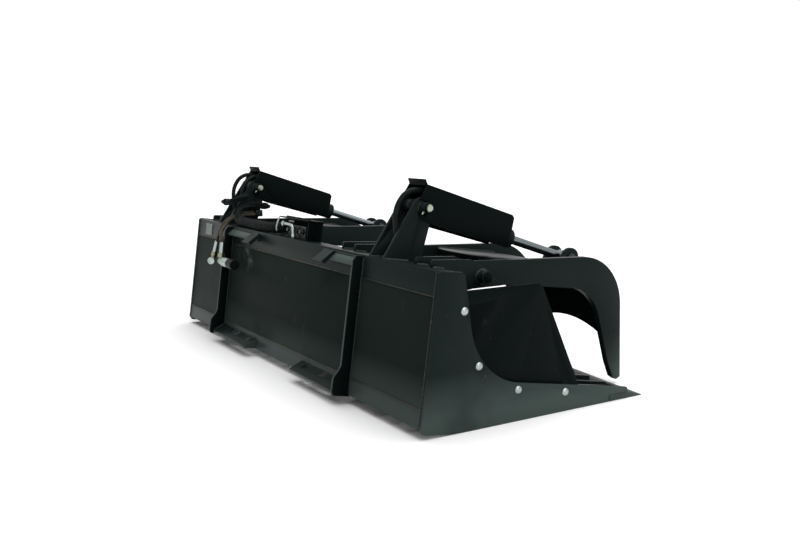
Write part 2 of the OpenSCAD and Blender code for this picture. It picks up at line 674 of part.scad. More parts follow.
// Guards -----------------------------------------------------------------------------
guard_shares = [[-0.021, 0.991, 0], [-0.0577, 0.39, 0], [-0.0367, -0.251, 0.02], [-0.0252, -0.417, 0.015],
  [0.0314, -0.555, 0.03], [0.32, -0.608, 0], [0.996, -0.495, 0.012], [1, -0.357, 0],
  [0.9785, 0.898, 0], [0.947, 1, 0]];
notch_gap = 4.5;
tab_back = 20;
tab_up = 14;
mount_x_shares = [-0.34, 0.08];
mount_s_shares = [0.5, 0.86];
guard_bolt_shares = [0.037, -0.32];
module guard_side() difference() {
  plate(guard_width / 2 - guard_t, guard_t)
    polygon(outline(scaled(guard_shares, guard_length, guard_height)));
  cross_rod(0, guard_width, [0, 0], boss_od / 2 + notch_gap);
  box([0, -boss_od, -0.45 * boss_od], [guard_width, 0, boss_od / 2 + notch_gap]);
}
module guard() at_pin() {
  guard_side();
  mirrored() guard_side();
  plate(guard_t - guard_width / 2, guard_width - 2 * guard_t) polygon([
    [guard_shares[9].x * guard_length, guard_height], [guard_shares[0].x * guard_length, guard_height],
    [-tab_back, guard_height + tab_up], [-tab_back, guard_height - guard_t + tab_up],
    [guard_shares[0].x * guard_length, guard_height - guard_t],
    [guard_shares[9].x * guard_length, guard_height - guard_t]]);
  difference() {
    for (s = mount_s_shares) box([mount_x_shares[0] * barrel_od, s * guard_length - guard_t, barrel_r / 2],
      [mount_x_shares[1] * barrel_od, s * guard_length, guard_height - guard_t]);
    along(0, barrel_end, barrel_r + run_gap);
  }
  for (s = [0, 1]) mirror([s, 0, 0]) cross_rod(guard_width / 2, guard_width / 2 + guard_t,
    [guard_bolt_shares.x * guard_length, guard_bolt_shares.y * guard_height], 1.3 * guard_t, $fn = 6);
}
module guard_right() color("#1d2323") guard();
module guard_left() color("#1d2323") left_side() guard();

// Ports, the steel line from the front port, and the two hose ends
hose_gap = 36;
hose_r = 9;
port_r = 12;
line_r = 6;
hose_s = 40;
hose_w = 58;
port_w = 48;
port_s = 62;
line_s = 384;
module cylinder_fittings() at_pin() difference() {
  union() {
    for (s = [-1, 1]) {
      rod_between([s * hose_gap / 2, hose_s, hose_w], [s * hose_gap / 2, port_s, hose_w], hose_r + line_r / 4);
      rod_between([s * hose_gap / 2, hose_s + line_r, hose_w], [s * hose_gap / 2, port_s - line_r, hose_w],
        hose_r + line_r / 2, $fn = 6);
    }
    translate([-hose_gap / 2, port_s, hose_w]) sphere(r = hose_r + line_r / 4);
    rod_between([-hose_gap / 2, port_s, barrel_r / 2], [-hose_gap / 2, port_s, hose_w], port_r - line_r / 3);
    rod_between([hose_gap / 2, port_s, hose_w], [hose_gap / 2, port_s + 2 * port_r, port_w], line_r);
    translate([hose_gap / 2, port_s + 2 * port_r, port_w]) sphere(r = line_r);
    rod_between([hose_gap / 2, port_s + 2 * port_r, port_w], [hose_gap / 2, line_s, port_w], line_r);
    translate([hose_gap / 2, line_s, port_w]) sphere(r = 1.4 * line_r);
    rod_between([hose_gap / 2, line_s, barrel_r / 2], [hose_gap / 2, line_s, port_w], 1.4 * line_r);
    rod_between([hose_gap / 2, line_s, barrel_r / 2], [hose_gap / 2, line_s, barrel_r + line_r / 2], port_r);
  }
  along(0, barrel_end, barrel_r);
}
module cylinder_fittings_right() color("#7e8684") cylinder_fittings();
module cylinder_fittings_left() color("#7e8684") left_side() cylinder_fittings();

// Hoses: one swept tube along a route, with a ring at each route point -------------------
function tangents(p) = let (n = len(p)) [for (i = [0:n - 1]) unit(p[min(i + 1, n - 1)] - p[max(i - 1, 0)])];
function square_to(v, t) = unit(v - (v * t) * t);
function normals(t, start) = [for (i = 0, n = square_to(start, t[0]); i < len(t);
  i = i + 1, n = i < len(t) ? square_to(n, t[i]) : n) n];
module hose(route, r, start, sides = 10) {
  t = tangents(route);
  n = normals(t, start);
  count = len(route);
  points = [for (i = [0:count - 1], k = [0:sides - 1]) let (a = 360 * k / sides)
    route[i] + r * (cos(a) * n[i] + sin(a) * cross(t[i], n[i]))];
  faces = concat(
    [for (i = [0:count - 2], k = [0:sides - 1]) let (m = (k + 1) % sides)
      [i * sides + k, (i + 1) * sides + k, (i + 1) * sides + m, i * sides + m]],
    [[for (k = [0:sides - 1]) k]],
    [[for (k = [sides - 1:-1:0]) (count - 1) * sides + k]]);
  polyhedron(points, faces, convexity = 6);
}

// The loops lie in a plane across the cylinder, as offsets from the tower pin
outer_loop = [[56, 43], [44, 47], [32, 50], [11, 54], [-12, 55], [-34, 51], [-54, 40], [-69, 23],
  [-80, 3], [-86, -20], [-87, -44], [-85, -68], [-82, -92], [-80, -111], [-80, -126], [-84, -139]];
inner_loop = [[56, 43], [44, 47], [30, 49], [10, 48], [-10, 43], [-28, 33], [-42, 17],
  [-52, -3], [-58, -24], [-61, -48], [-62, -72], [-64, -96], [-69, -118], [-76, -133]];
function loop_route(t, x) = [for (p = t) [x, tower_pin.x + p.x, tower_pin.y + p.y]];
module hose_loops() {
  hose(loop_route(outer_loop, rod_x + hose_gap / 2), hose_r, [1, 0, 0]);
  hose(loop_route(inner_loop, rod_x - hose_gap / 2), hose_r, [1, 0, 0]);
}
module hose_loops_right() color("#15191a") hose_loops();
module hose_loops_left() color("#15191a") left_side() hose_loops();

// Fittings on the beam that the loops end at, each aimed at the tower pin
bulkhead_gap = 3;
bulkhead_r = 11;
module bulkhead(t, x) {
  d = unit(last(t));
  a = tower_pin + (norm(last(t)) + bulkhead_gap) * d;
  top = back_u(top_rear);
  reach = (top - back_u(a)) / (back_u(a + d) - back_u(a)) ;
  difference() {
    union() {
      rod_between([x, a.x, a.y], [x, a.x + 2 * reach * d.x, a.y + 2 * reach * d.y], bulkhead_r - 2);
      rod_between([x, a.x, a.y], [x, a.x + reach * d.x / 2, a.y + reach * d.y / 2], bulkhead_r, $fn = 6);
    }
    at_back() box([x - beam_depth, -beam_depth, beam_floor], [x + beam_depth, 2 * beam_depth, back_length]);
  }
}
module bulkhead_pair() {
  bulkhead(outer_loop, rod_x + hose_gap / 2);
  bulkhead(inner_loop, rod_x - hose_gap / 2);
}
// Block on the left tower that the two whips come out of
clamp_depth = 32;
clamp_margin = 10;
module whip_block() {
  a = whip_a_route[0];
  b = whip_b_route[0];
  box([-left_offset - rod_x + (tower_pitch + tower_t) / 2, a.y, b.z - clamp_margin],
    [b.x + clamp_margin, a.y + clamp_depth, a.z + clamp_margin]);
}
module hose_bulkheads() color("#7e8684") {
  bulkhead_pair();
  left_side() bulkhead_pair();
  whip_block();
}

// Sleeved hoses along the beam, and their wrap round the left tower
bundle_r = 22;
wrap_r = 18;
function placed(base, t) = [for (p = t) base + p];
function last(t) = t[len(t) - 1];
box_end = [box_near - box_length, top_rear.x, top_rear.y];
left_tower = [-left_offset - rod_x, tower_pin.x, tower_pin.y];
bundle_start = placed(box_end, [[10, 60, 30], [-8, 54, 27], [-30, 46, 24], [-60, 36, 21], [-100, 28, 20],
  [-150, 24, 20]]);
bundle_end = placed(left_tower, [[200, -126, -140], [170, -126, -140], [152, -126, -137], [139, -125, -128]]);
bundle_route = concat(bundle_start,
  [for (i = [1:3]) last(bundle_start) + (bundle_end[0] - last(bundle_start)) * i / 4], bundle_end);
wrap_route = placed(left_tower, [[139, -125, -128], [126, -124, -119], [110, -115, -104], [94, -98, -91],
  [81, -72, -81], [75, -43, -77], [74, -14, -78], [73, 15, -81], [63, 38, -85], [41, 51, -88],
  [15, 53, -89], [-12, 52, -89], [-38, 49, -87], [-59, 38, -84], [-71, 18, -81],
  [-74, -8, -77], [-74, -36, -73], [-73, -64, -70], [-70, -90, -68], [-58, -111, -66],
  [-38, -123, -65], [-12, -126, -65], [14, -126, -64], [40, -125, -61], [62, -119, -55],
  [75, -104, -47], [79, -82, -40], [80, -60, -35]]);
// Least gap between passes of the wrap, measured on its points
turn_points = 8;
function least_gap(t, r) = min([for (i = [0:len(t) - 1 - turn_points], k = [i + turn_points:len(t) - 1])
  norm(t[k] - t[i])]) - 2 * r;
echo(wrap_gap = least_gap(wrap_route, wrap_r));
module hose_bundle() color("#101313") hose(bundle_route, bundle_r, [0, 0, 1], 12);
module hose_wrap() color("#101313") hose(wrap_route, wrap_r, [0, 0, 1], 12);

// Two whips that end in quick couplers behind the back
whip_r = 7;
whip_a_route = placed(left_tower, [[64, -24, -111], [64, -46, -111], [64, -72, -112], [63, -98, -116],
  [61, -120, -123], [59, -139, -133], [56, -155, -145], [54, -167, -159], [52, -176, -175], [49, -183, -193],
  [45, -188, -211], [40, -192, -229], [34, -194, -247], [28, -196, -264], [22, -198, -280]]);
whip_b_route = placed(left_tower, [[78, -24, -119], [78, -48, -119], [78, -72, -120], [78, -96, -124],
  [78, -118, -128], [79, -138, -135], [81, -154, -145], [85, -167, -157], [92, -180, -169], [102, -192, -180],
  [115, -202, -190], [130, -208, -199], [142, -209, -206], [150, -210, -217], [152, -212, -230]]);
module whip_hose_a() color("#2f2c22") hose(whip_a_route, whip_r, [1, 0, 0]);
module whip_hose_b() color("#2f2c22") hose(whip_b_route, whip_r, [1, 0, 0]);

ferrule_r = 10;
elbow_r = 12;
coupler_r = 18;
coupler_length = 60;
function end_way(t) = unit(last(t) - t[len(t) - 2]);
a_end = last(whip_a_route);
a_way = end_way(whip_a_route);
a_elbow = a_end + a_way * 3.6 * elbow_r;
module coupler_a() color("#b4b9b6") {
  rod_between(a_end, a_end + a_way * 2.4 * elbow_r, ferrule_r);
  rod_between(a_end, a_elbow, 0.75 * elbow_r);
  translate(a_elbow) sphere(r = elbow_r);
  rod_between(a_elbow, a_elbow - [0, 2 * elbow_r, 0], elbow_r);
  rod_between(a_elbow - [0, elbow_r, 0], a_elbow - [0, 1.5 * elbow_r, 0], 1.3 * elbow_r, $fn = 6);
  rod_between(a_elbow - [0, 1.6 * elbow_r, 0], a_elbow - [0, coupler_length, 0], coupler_r);
}
b_end = last(whip_b_route);
b_way = end_way(whip_b_route);
b_elbow = b_end + b_way * 6.5 * elbow_r;
flat_r = 20;
b_length = 155;
module coupler_b() color("#b4b9b6") {
  rod_between(b_end, b_end + b_way * 3.8 * elbow_r, ferrule_r);
  rod_between(b_end, b_elbow, 0.75 * elbow_r);
  translate(b_elbow) sphere(r = elbow_r);
  rod_between(b_elbow, b_elbow + [b_length / 2, 0, 0], elbow_r);
  rod_between(b_elbow + [elbow_r, 0, 0], b_elbow + [2.4 * elbow_r, 0, 0], 1.35 * elbow_r, $fn = 6);
  rod_between(b_elbow + [3 * elbow_r, 0, 0], b_elbow + [b_length, 0, 0], flat_r);
}

// Valve box, open at the rear and at the far end ---------------------------------------
box_far = box_near - box_length;
box_rear = beam_depth - box_depth;
box_lip = 5;
strip_shares = [0.1, 0.9];
module valve_box() color("#121616") at_back() translate([0, 0, back_length]) {
  box([box_far, box_rear, 0], [box_near, beam_depth, box_t]);
  box([box_far, beam_depth - box_t, 0], [box_near, beam_depth, box_height]);
  box([box_near - box_t, box_rear, 0], [box_near, beam_depth, box_height]);
  box([box_far - box_lip, box_rear - box_lip, box_height - box_t], [box_near + box_lip, beam_depth + box_lip, box_height]);
  box([box_far + strip_shares[0] * box_length, box_rear + 2 * box_lip, box_height],
    [box_far + strip_shares[1] * box_length, box_rear + 4 * box_lip, box_height + box_t]);
}
block_shares = [0.2, 0.8];
block_h = 46;
module valve_block() color("#9fa6a3") at_back() translate([0, 0, back_length + box_t]) {
  x0 = box_far + block_shares[0] * box_length;
  x1 = box_far + block_shares[1] * box_length;
  v0 = box_rear + 3 * box_lip;
  box([x0, v0, 0], [x1, beam_depth - 2 * box_t, block_h]);
  for (i = [0:3]) {
    x = x0 + (i + 0.5) * (x1 - x0) / 4;
    rod_between([x, v0 + over, 0.55 * block_h], [x, v0 - 1.6 * box_lip, 0.55 * block_h], elbow_r);
    rod_between([x, v0, 0.55 * block_h], [x, v0 - 3.4 * box_lip, 0.55 * block_h], 0.7 * elbow_r);
  }
}

// The footprint's middle goes to the origin ---------------------------------------------
module set_down() translate([0, -mid_y, 0]) children();
set_down() side_plate_right();
set_down() side_plate_left();
set_down() top_beam();
set_down() back_sheet();
set_down() lower_rail();
set_down() tines_left();
set_down() tines_middle();
set_down() tines_right();
set_down() cutting_edge();
set_down() end_panel_right();
set_down() end_panel_left();
set_down() panel_bolts_right();
set_down() panel_bolts_left();
set_down() coupler_flange_right();
set_down() coupler_flange_left();
set_down() top_lip_right();
set_down() top_lip_left();
set_down() bottom_lip_right();
set_down() bottom_lip_left();
set_down() hinge_ears_right();
set_down() hinge_ears_left();
set_down() hinge_pins_right();
set_down() hinge_pins_left();
set_down() tower_right();
set_down() tower_left();
set_down() tower_pin_right();
set_down() tower_pin_left();
set_down() valve_box();
set_down() valve_block();
set_down() hose_bulkheads();
set_down() hose_bundle();
set_down() hose_wrap();
set_down() whip_hose_a();
set_down() whip_hose_b();
set_down() coupler_a();
set_down() coupler_b();
set_down() arm_outer_plate_right();
set_down() arm_inner_plate_right();
set_down() arm_web_right();
set_down() rod_lugs_right();
set_down() rod_pin_ends_right();
set_down() arm_outer_plate_left();
set_down() arm_inner_plate_left();
set_down() arm_web_left();
set_down() rod_lugs_left();
set_down() rod_pin_ends_left();
set_down() barrel_right();
set_down() gland_right();
set_down() guard_right();
set_down() hose_loops_right();
set_down() cylinder_fittings_right();
set_down() rod_right();
set_down() piston_right();
set_down() barrel_left();
set_down() gland_left();
set_down() guard_left();
set_down() hose_loops_left();
set_down() cylinder_fittings_left();
set_down() rod_left();
set_down() piston_left();
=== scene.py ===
"""Rock grapple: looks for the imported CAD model, laid out as a Blender add-on."""

import json
import math
import random

import bmesh
import bpy
from bpy.props import FloatProperty, FloatVectorProperty, PointerProperty
from mathutils import Matrix, Vector

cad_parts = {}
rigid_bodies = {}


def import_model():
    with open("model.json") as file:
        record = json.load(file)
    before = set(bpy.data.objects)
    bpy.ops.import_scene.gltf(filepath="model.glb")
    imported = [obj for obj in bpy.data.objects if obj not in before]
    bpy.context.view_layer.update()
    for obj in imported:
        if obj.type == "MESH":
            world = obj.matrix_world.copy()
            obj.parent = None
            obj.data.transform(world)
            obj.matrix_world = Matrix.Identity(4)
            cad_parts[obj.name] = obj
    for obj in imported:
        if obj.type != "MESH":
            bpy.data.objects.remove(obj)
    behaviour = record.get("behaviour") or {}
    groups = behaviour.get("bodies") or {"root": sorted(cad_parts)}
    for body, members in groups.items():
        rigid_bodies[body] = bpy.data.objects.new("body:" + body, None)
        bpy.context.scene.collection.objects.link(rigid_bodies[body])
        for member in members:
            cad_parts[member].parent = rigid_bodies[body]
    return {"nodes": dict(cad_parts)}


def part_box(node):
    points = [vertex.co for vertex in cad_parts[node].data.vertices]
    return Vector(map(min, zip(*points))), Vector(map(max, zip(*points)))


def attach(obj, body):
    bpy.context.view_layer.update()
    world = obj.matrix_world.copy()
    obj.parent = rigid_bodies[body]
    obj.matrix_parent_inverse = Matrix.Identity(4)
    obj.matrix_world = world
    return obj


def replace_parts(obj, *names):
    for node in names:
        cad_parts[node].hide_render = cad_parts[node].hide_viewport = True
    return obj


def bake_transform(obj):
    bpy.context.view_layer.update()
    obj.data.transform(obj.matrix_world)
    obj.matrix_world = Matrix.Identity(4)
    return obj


bl_info = {
    "name": "Rock grapple",
    "version": (1, 0, 0),
    "blender": (4, 5, 0),
    "location": "View3D > Sidebar > Grapple",
    "description": "Finishes, welds, hoses, fittings, floor, light and camera of a rock grapple",
    "category": "Object",
}

# Sizes in millimetres, in the drawing's frame: X along the edge, Y forward from the back's
# foot, Z up. at() turns them into the row frame in metres.
HALF_W = 1016.0  # half the width over the side plates
SIDE_T = 12.0
INNER = HALF_W - SIDE_T
BUCKET_H = 501.0
FOOT_Z = 31.0  # height of the back's foot
LEAN = 7.7  # of the back, in degrees
BACK_L = (BUCKET_H - FOOT_Z) / math.cos(math.radians(LEAN))
LEG_REACH = 765.0  # where the cutting edge starts, at the side plates
EDGE_T = 19.0
EDGE_DEPTH = 152.0
NOSE = 6.6  # of the pointed edge, in degrees
NOSE_Y = (LEG_REACH + HALF_W * math.tan(math.radians(NOSE))
          + EDGE_DEPTH / math.cos(math.radians(NOSE)))
BEAM_DEPTH = 92.0
BEAM_H = 76.0
RAIL_H = 60.0
TINES = 21
TINE_PITCH = 92.0
TINE_T = 16.0
# The inner faces of the flanges and the inner ends of the lips, from the middle
FLANGE_X = 565.0
FLANGE_T = 10.0
TOP_LIP_X = 338.0
BOTTOM_LIP_X = 213.0
# The right arm and its cylinder, and how far the left set stands past the mirrored place
ARM_X = 615.0
ARM_SPREAD = 476.0
ARM_T = 25.0
ROD_X = 650.0
LEFT_OFFSET = 60.0
# Y and Z of the arm's pivot and of the tower pin
PIVOT = (303.0, 452.0)
TOWER_PIN = (214.0, 661.0)
# The faces of a tower plate and the middle of an ear, from the middle of their pair
TOWER_FACES = (37, 49)
EAR_MID = 43
EAR_HALF = 6  # half an ear's thickness
LUG_HALF = 8  # half a rod lug's
# The camera was placed by the photograph's vanishing points
CAMERA_AT = (3143.0, -1406.0, 891.0)
CAMERA_RIGHT = (0.53105, 0.84734, 0.0)
CAMERA_UP = (-0.12205, 0.07649, 0.98957)
CAMERA_BACK = (0.83850, -0.52551, 0.14404)
LENS = 40.5

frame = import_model()
MID_Y = NOSE_Y - 1000.0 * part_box("cutting_edge")[1].y
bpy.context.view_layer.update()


def at(x, y, z):
    """A place in the drawing's frame, in the row frame."""
    return Vector((x / 1000.0, (y - MID_Y) / 1000.0, z / 1000.0))


def on_back(x, v, u):
    """A point of the leaning back: v forward of its rear face, u up it."""
    a = math.radians(LEAN)
    return at(x, v * math.cos(a) + u * math.sin(a), FOOT_Z - v * math.sin(a) + u * math.cos(a))


# Whether a side is the left one, and its name
SIDES = ((False, "right"), (True, "left"))


def sided(x, left):
    """The X of the right set's place x on the chosen side."""
    return -x - LEFT_OFFSET if left else x


# Mesh building


def smooth_path(points, step):
    """A Catmull-Rom curve through the points, sampled every step metres."""
    p = [Vector(q) for q in points]
    p = [p[0] * 2 - p[1]] + p + [p[-1] * 2 - p[-2]]
    out = []
    for i in range(1, len(p) - 2):
        a, b, c, d = p[i - 1], p[i], p[i + 1], p[i + 2]
        n = max(1, int(math.ceil((c - b).length / step)))
        for k in range(n):
            t = k / n
            out.append(0.5 * ((2 * b) + (c - a) * t + (2 * a - 5 * b + 4 * c - d) * t * t
                              + (3 * b - a - 3 * c + d) * t ** 3))
    out.append(p[-2])
    return out


def route(table, step):
    """A smooth path through places in the drawing's frame."""
    return smooth_path([at(*q) for q in table], step)


def even_path(points, step):
    """The same polyline, sampled every step metres."""
    out = []
    for a, b in zip(points, points[1:]):
        n = max(1, int(round((b - a).length / step)))
        out += [a.lerp(b, k / n) for k in range(n)]
    return out + [points[-1]]


def path_length(points):
    """The length of the polyline through the points."""
    return sum((b - a).length for a, b in zip(points, points[1:]))


def frames(points):
    """Tangent, normal and binormal at each point, carried along without twist."""
    n = len(points)
    t = [(points[min(i + 1, n - 1)] - points[max(i - 1, 0)]).normalized() for i in range(n)]
    side = t[0].orthogonal().normalized()
    out = []
    for d in t:
        side = (side - d * side.dot(d)).normalized()
        out.append((d, side, d.cross(side)))
    return out


def join(bm, part):
    """Adds a finished part's mesh to bm."""
    bmesh.ops.recalc_face_normals(part, faces=part.faces)
    mesh = bpy.data.meshes.new("part")
    part.to_mesh(mesh)
    part.free()
    bm.from_mesh(mesh)
    bpy.data.meshes.remove(mesh)


# A curve's tube has this radius where a point's own factor is one
BEVEL_DEPTH = 0.01


def sweep(bm, points, radius, sides=12):
    """A round tube along points, from a bevelled curve.

    radius is a number, or a function of the distance along."""
    curve = bpy.data.curves.new("tube", "CURVE")
    curve.dimensions, curve.fill_mode, curve.use_fill_caps = "3D", "FULL", True
    curve.bevel_depth, curve.bevel_resolution = BEVEL_DEPTH, max(0, (sides - 4) // 2)
    spline = curve.splines.new("POLY")
    spline.points.add(len(points) - 1)
    along = [0.0]
    for p, q in zip(points, points[1:]):
        along.append(along[-1] + (q - p).length)
    spline.points.foreach_set("co", [c for p in points for c in (*p, 1.0)])
    radii = [radius(s) if callable(radius) else radius for s in along]
    spline.points.foreach_set("radius", [r / BEVEL_DEPTH for r in radii])
    o = bpy.data.objects.new("tube", curve)
    mesh = bpy.data.meshes.new_from_object(o)
    bm.from_mesh(mesh)
    bpy.data.objects.remove(o)
    bpy.data.curves.remove(curve)
    bpy.data.meshes.remove(mesh)


def lathe(bm, start, way, profile, sides=32, hollow=False):
    """Spins a profile of (distance, radius) pairs about the line from start along way."""
    d = Vector(way).normalized()
    u = d.orthogonal().normalized()
    if not hollow:
        profile = [(profile[0][0], 0.0), *profile, (profile[-1][0], 0.0)]
    part = bmesh.new()
    line = [part.verts.new(start + d * s + u * r) for s, r in profile]
    edges = [part.edges.new(pair) for pair in zip(line, line[1:])]
    bmesh.ops.spin(part, geom=line + edges, cent=start, axis=d, angle=2 * math.pi,
                   steps=sides, use_merge=True)
    bmesh.ops.remove_doubles(part, verts=part.verts, dist=1e-7)
    join(bm, part)


def tube(bm, start, way, length, inner, outer, edge=0.0006):
    """A short open ring with one rounded edge."""
    profile = [(0, inner), (0, outer), (length - edge, outer), (length, outer - edge),
               (length, inner), (0, inner)]
    lathe(bm, start, way, profile, hollow=True)


def nut(bm, start, way, length, bore, outer, sides=6, bevel=0.0002):
    """A hexagon nut, or a plain ring with more sides."""
    lathe(bm, start, way, [(0, bore), (bevel, outer), (length, outer), (length + bevel, bore)], sides)


def slab(bm, corner, u, v, w):
    """A box from a corner and its three edges."""
    place = Matrix.Translation(corner + (u + v + w) / 2) @ Matrix((u, v, w)).transposed().to_4x4()
    part = bmesh.new()
    bmesh.ops.create_cube(part, size=1.0, matrix=place)
    join(bm, part)


def ribbon(bm, points, across, width, thick):
    """A flat strap along points, its width near across."""
    part = bmesh.new()
    last = len(points) - 1
    bmesh.ops.create_grid(part, x_segments=last, y_segments=1, size=1.0)
    ways = frames(points)
    for v in part.verts:
        i = round((v.co.x + 1) / 2 * last)
        d = ways[i][0]
        square = (across - d * across.dot(d)).normalized()
        v.co = points[i] + square * math.copysign(width / 2, v.co.y)
    bmesh.ops.solidify(part, geom=part.faces, thickness=thick)
    join(bm, part)


def piece(name, bm, finish, body=None, smooth=True):
    """Makes a mesh object of what bm holds, in the row frame, riding on a body."""
    bmesh.ops.recalc_face_normals(bm, faces=bm.faces)
    mesh = bpy.data.meshes.new(name)
    bm.to_mesh(mesh)
    bm.free()
    for f in mesh.polygons:
        f.use_smooth = smooth
    if smooth:
        mesh.set_sharp_from_angle(angle=math.radians(40))
    mesh.materials.append(MATERIALS[finish])
    o = bpy.data.objects.new(name, mesh)
    bpy.context.scene.collection.objects.link(o)
    if body:
        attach(o, body)
    return o


# Materials


class Nodes:
    """A short way to write a node tree."""

    def __init__(self, tree):
        self.tree = tree

    def add(self, kind, values=(), **settings):
        n = self.tree.nodes.new(kind)
        for k, v in settings.items():
            setattr(n, k, v)
        for k, v in dict(values).items():
            if isinstance(v, bpy.types.NodeSocket):
                self.link(v, n.inputs[k])
            else:
                n.inputs[k].default_value = v
        return n

    def link(self, a, b):
        self.tree.links.new(a, b)

    def ramp(self, value, low, high):
        """0 at low and 1 at high, whichever is larger."""
        n = self.add("ShaderNodeMapRange", {"Value": value, "From Min": low, "From Max": high}, clamp=True)
        return n.outputs["Result"]

    def math(self, kind, a, b=0.0):
        return self.add("ShaderNodeMath", {0: a, 1: b}, operation=kind).outputs[0]

    def times(self, a, b):
        return self.math("MULTIPLY", a, b)

    def mix(self, share, a, b):
        # Inputs 6 and 7 and output 2 are the node's colour sockets
        return self.add("ShaderNodeMix", {"Factor": share, 6: a, 7: b}, data_type="RGBA").outputs[2]

    def place(self):
        return self.add("ShaderNodeTexCoord").outputs["Object"]

    def part_of(self, vector, axis):
        return self.add("ShaderNodeSeparateXYZ", {"Vector": vector}).outputs[axis]

    def normal(self):
        return self.add("ShaderNodeNewGeometry").outputs["Normal"]

    def noise(self, place, scale, detail, roughness=0.5):
        values = {"Vector": place, "Scale": scale, "Detail": detail, "Roughness": roughness}
        return self.add("ShaderNodeTexNoise", values).outputs["Fac"]

    def effect(self, tree, **values):
        """One of the shared groups, with its own values."""
        return self.add("ShaderNodeGroup", {k.title(): v for k, v in values.items()}, node_tree=tree).outputs

    def bump(self, shader, strength, distance, height):
        n = self.add("ShaderNodeBump", {"Strength": strength, "Distance": distance, "Height": height})
        self.link(n.outputs["Normal"], shader.inputs["Normal"])


def group(name, outputs, inputs=()):
    """An empty shader node group with its sockets, ready to be filled."""
    g = bpy.data.node_groups.new(name, "ShaderNodeTree")
    for n, kind in outputs:
        g.interface.new_socket(name=n, in_out="OUTPUT", socket_type=kind)
    for n, kind, value in inputs:
        g.interface.new_socket(name=n, in_out="INPUT", socket_type=kind).default_value = value
    return g, Nodes(g), g.nodes.new("NodeGroupInput"), g.nodes.new("NodeGroupOutput")


def edge_wear_and_highlight_group():
    """Mask of edges where the paint is rubbed off, which also paints the edge highlights: where a rounded
    normal leaves the true one, broken up by noise.
    """
    g, n, i, o = group("Edge wear", [("Mask", "NodeSocketFloat")],
                       [("Width", "NodeSocketFloat", 0.003), ("Amount", "NodeSocketFloat", 0.5)])
    soft = n.add("ShaderNodeBevel", {"Radius": i.outputs["Width"]}, samples=4).outputs["Normal"]
    dot = n.add("ShaderNodeVectorMath", {0: soft, 1: n.normal()}, operation="DOT_PRODUCT").outputs["Value"]
    edge = n.ramp(n.math("SUBTRACT", 1.0, dot), 0.02, 0.22)
    low = n.math("SUBTRACT", 0.86, n.times(i.outputs["Amount"], 0.5))
    keep = n.ramp(n.noise(n.place(), 46.0, 6.0, 0.65), low, 0.92)
    n.link(n.times(edge, keep), o.inputs["Mask"])
    return g


def grain_group():
    """Fine orange peel of a powder coat, as a height, a slow change of gloss, and dust."""
    g, n, i, o = group("Coat grain", [(k, "NodeSocketFloat") for k in ("Height", "Gloss", "Dust")])
    place = n.place()
    slow = n.noise(place, 3.2, 5.0, 0.6)
    fine = n.noise(place, 260.0, 4.0, 0.7)
    n.link(n.noise(place, 620.0, 2.0), o.inputs["Height"])
    n.link(n.ramp(slow, 0.3, 0.7), o.inputs["Gloss"])
    n.link(n.times(n.ramp(fine, 0.62, 0.8), n.ramp(slow, 0.35, 0.75)), o.inputs["Dust"])
    return g


def scratch_group():
    """Short thin scratches in two directions, kept to some patches."""
    g, n, i, o = group("Scratches", [("Mask", "NodeSocketFloat")])
    place = n.place()
    masks = []
    for turn, stretch, shift in (((0.2, 0.5, 0.3), (90.0, 2.2, 5.0), 0.0),
                                 ((1.1, 0.2, 1.9), (110.0, 3.0, 4.0), 3.7)):
        values = {"Vector": place, "Rotation": turn, "Scale": stretch, "Location": (shift,) * 3}
        lines = n.noise(n.add("ShaderNodeMapping", values).outputs["Vector"], 1.6, 1.0)
        masks.append(n.ramp(lines, 0.735, 0.76))
    patch = n.ramp(n.noise(place, 4.5, 3.0), 0.56, 0.66)
    n.link(n.times(n.math("MAXIMUM", *masks), patch), o.inputs["Mask"])
    return g


def specks_group():
    """Tan rust specks, gathered in places."""
    g, n, i, o = group("Rust specks", [("Mask", "NodeSocketFloat")], [("Amount", "NodeSocketFloat", 0.1)])
    place = n.place()
    low = n.math("SUBTRACT", 0.74, n.times(i.outputs["Amount"], 0.3))
    spots = n.ramp(n.noise(place, 150.0, 3.0, 0.6), low, 0.78)
    n.link(n.times(spots, n.ramp(n.noise(place, 11.0, 2.0), 0.47, 0.6)), o.inputs["Mask"])
    return g


def floor_reflection_group():
    """Mask of a painted floor reflection: lighter towards the foot of upright faces, broken up by noise."""
    g, n, i, o = group("Painted floor reflection", [("Mask", "NodeSocketFloat")],
                       [("Top", "NodeSocketFloat", 0.19), ("Foot", "NodeSocketFloat", 0.05)])
    place = n.place()
    height = n.ramp(n.part_of(place, "Z"), i.outputs["Top"], i.outputs["Foot"])
    low = n.times(height, n.ramp(n.noise(place, 3.4, 3.0), 0.12, 0.48))
    upright = n.ramp(n.math("ABSOLUTE", n.part_of(n.normal(), "Z")), 0.75, 0.5)
    n.link(n.times(low, upright), o.inputs["Mask"])
    return g


def colour(r, g, b):
    """A colour given as seen on a screen, 0 to 255, turned to light values."""
    def lin(c):
        c /= 255.0
        return c / 12.92 if c <= 0.04045 else ((c + 0.055) / 1.055) ** 2.4
    return (lin(r), lin(g), lin(b), 1.0)


def times(tint, share, blue=None):
    """A colour made lighter or darker, with its blue by its own share where one is given."""
    r, g, b, a = tint
    return (r * share, g * share, b * (blue or share), a)


# Painted light: paint, rubber and plastic reflect a little less red, for the teal cast of the light
PAINTED_LIGHT_CAST = (0.80, 1.0, 0.97, 1.0)
# What lies on the coat or shows through it, and the painted floor reflection, painted rear-face light and
# painted edge highlights
SETTLED_DUST = colour(108, 122, 114)
PAINTED_FLOOR_REFLECTION = colour(70, 81, 78)
SCRATCHED = colour(120, 126, 122)
PAINTED_REAR_LIGHT = colour(70, 82, 79)
SCUFFED = colour(104, 118, 114)
WORN_EDGE_AND_HIGHLIGHT = colour(150, 156, 150)
RUST_SPECK = colour(150, 104, 58)
BEAD_SPECK = colour(176, 132, 74)
RUST_RUN = colour(112, 84, 44)


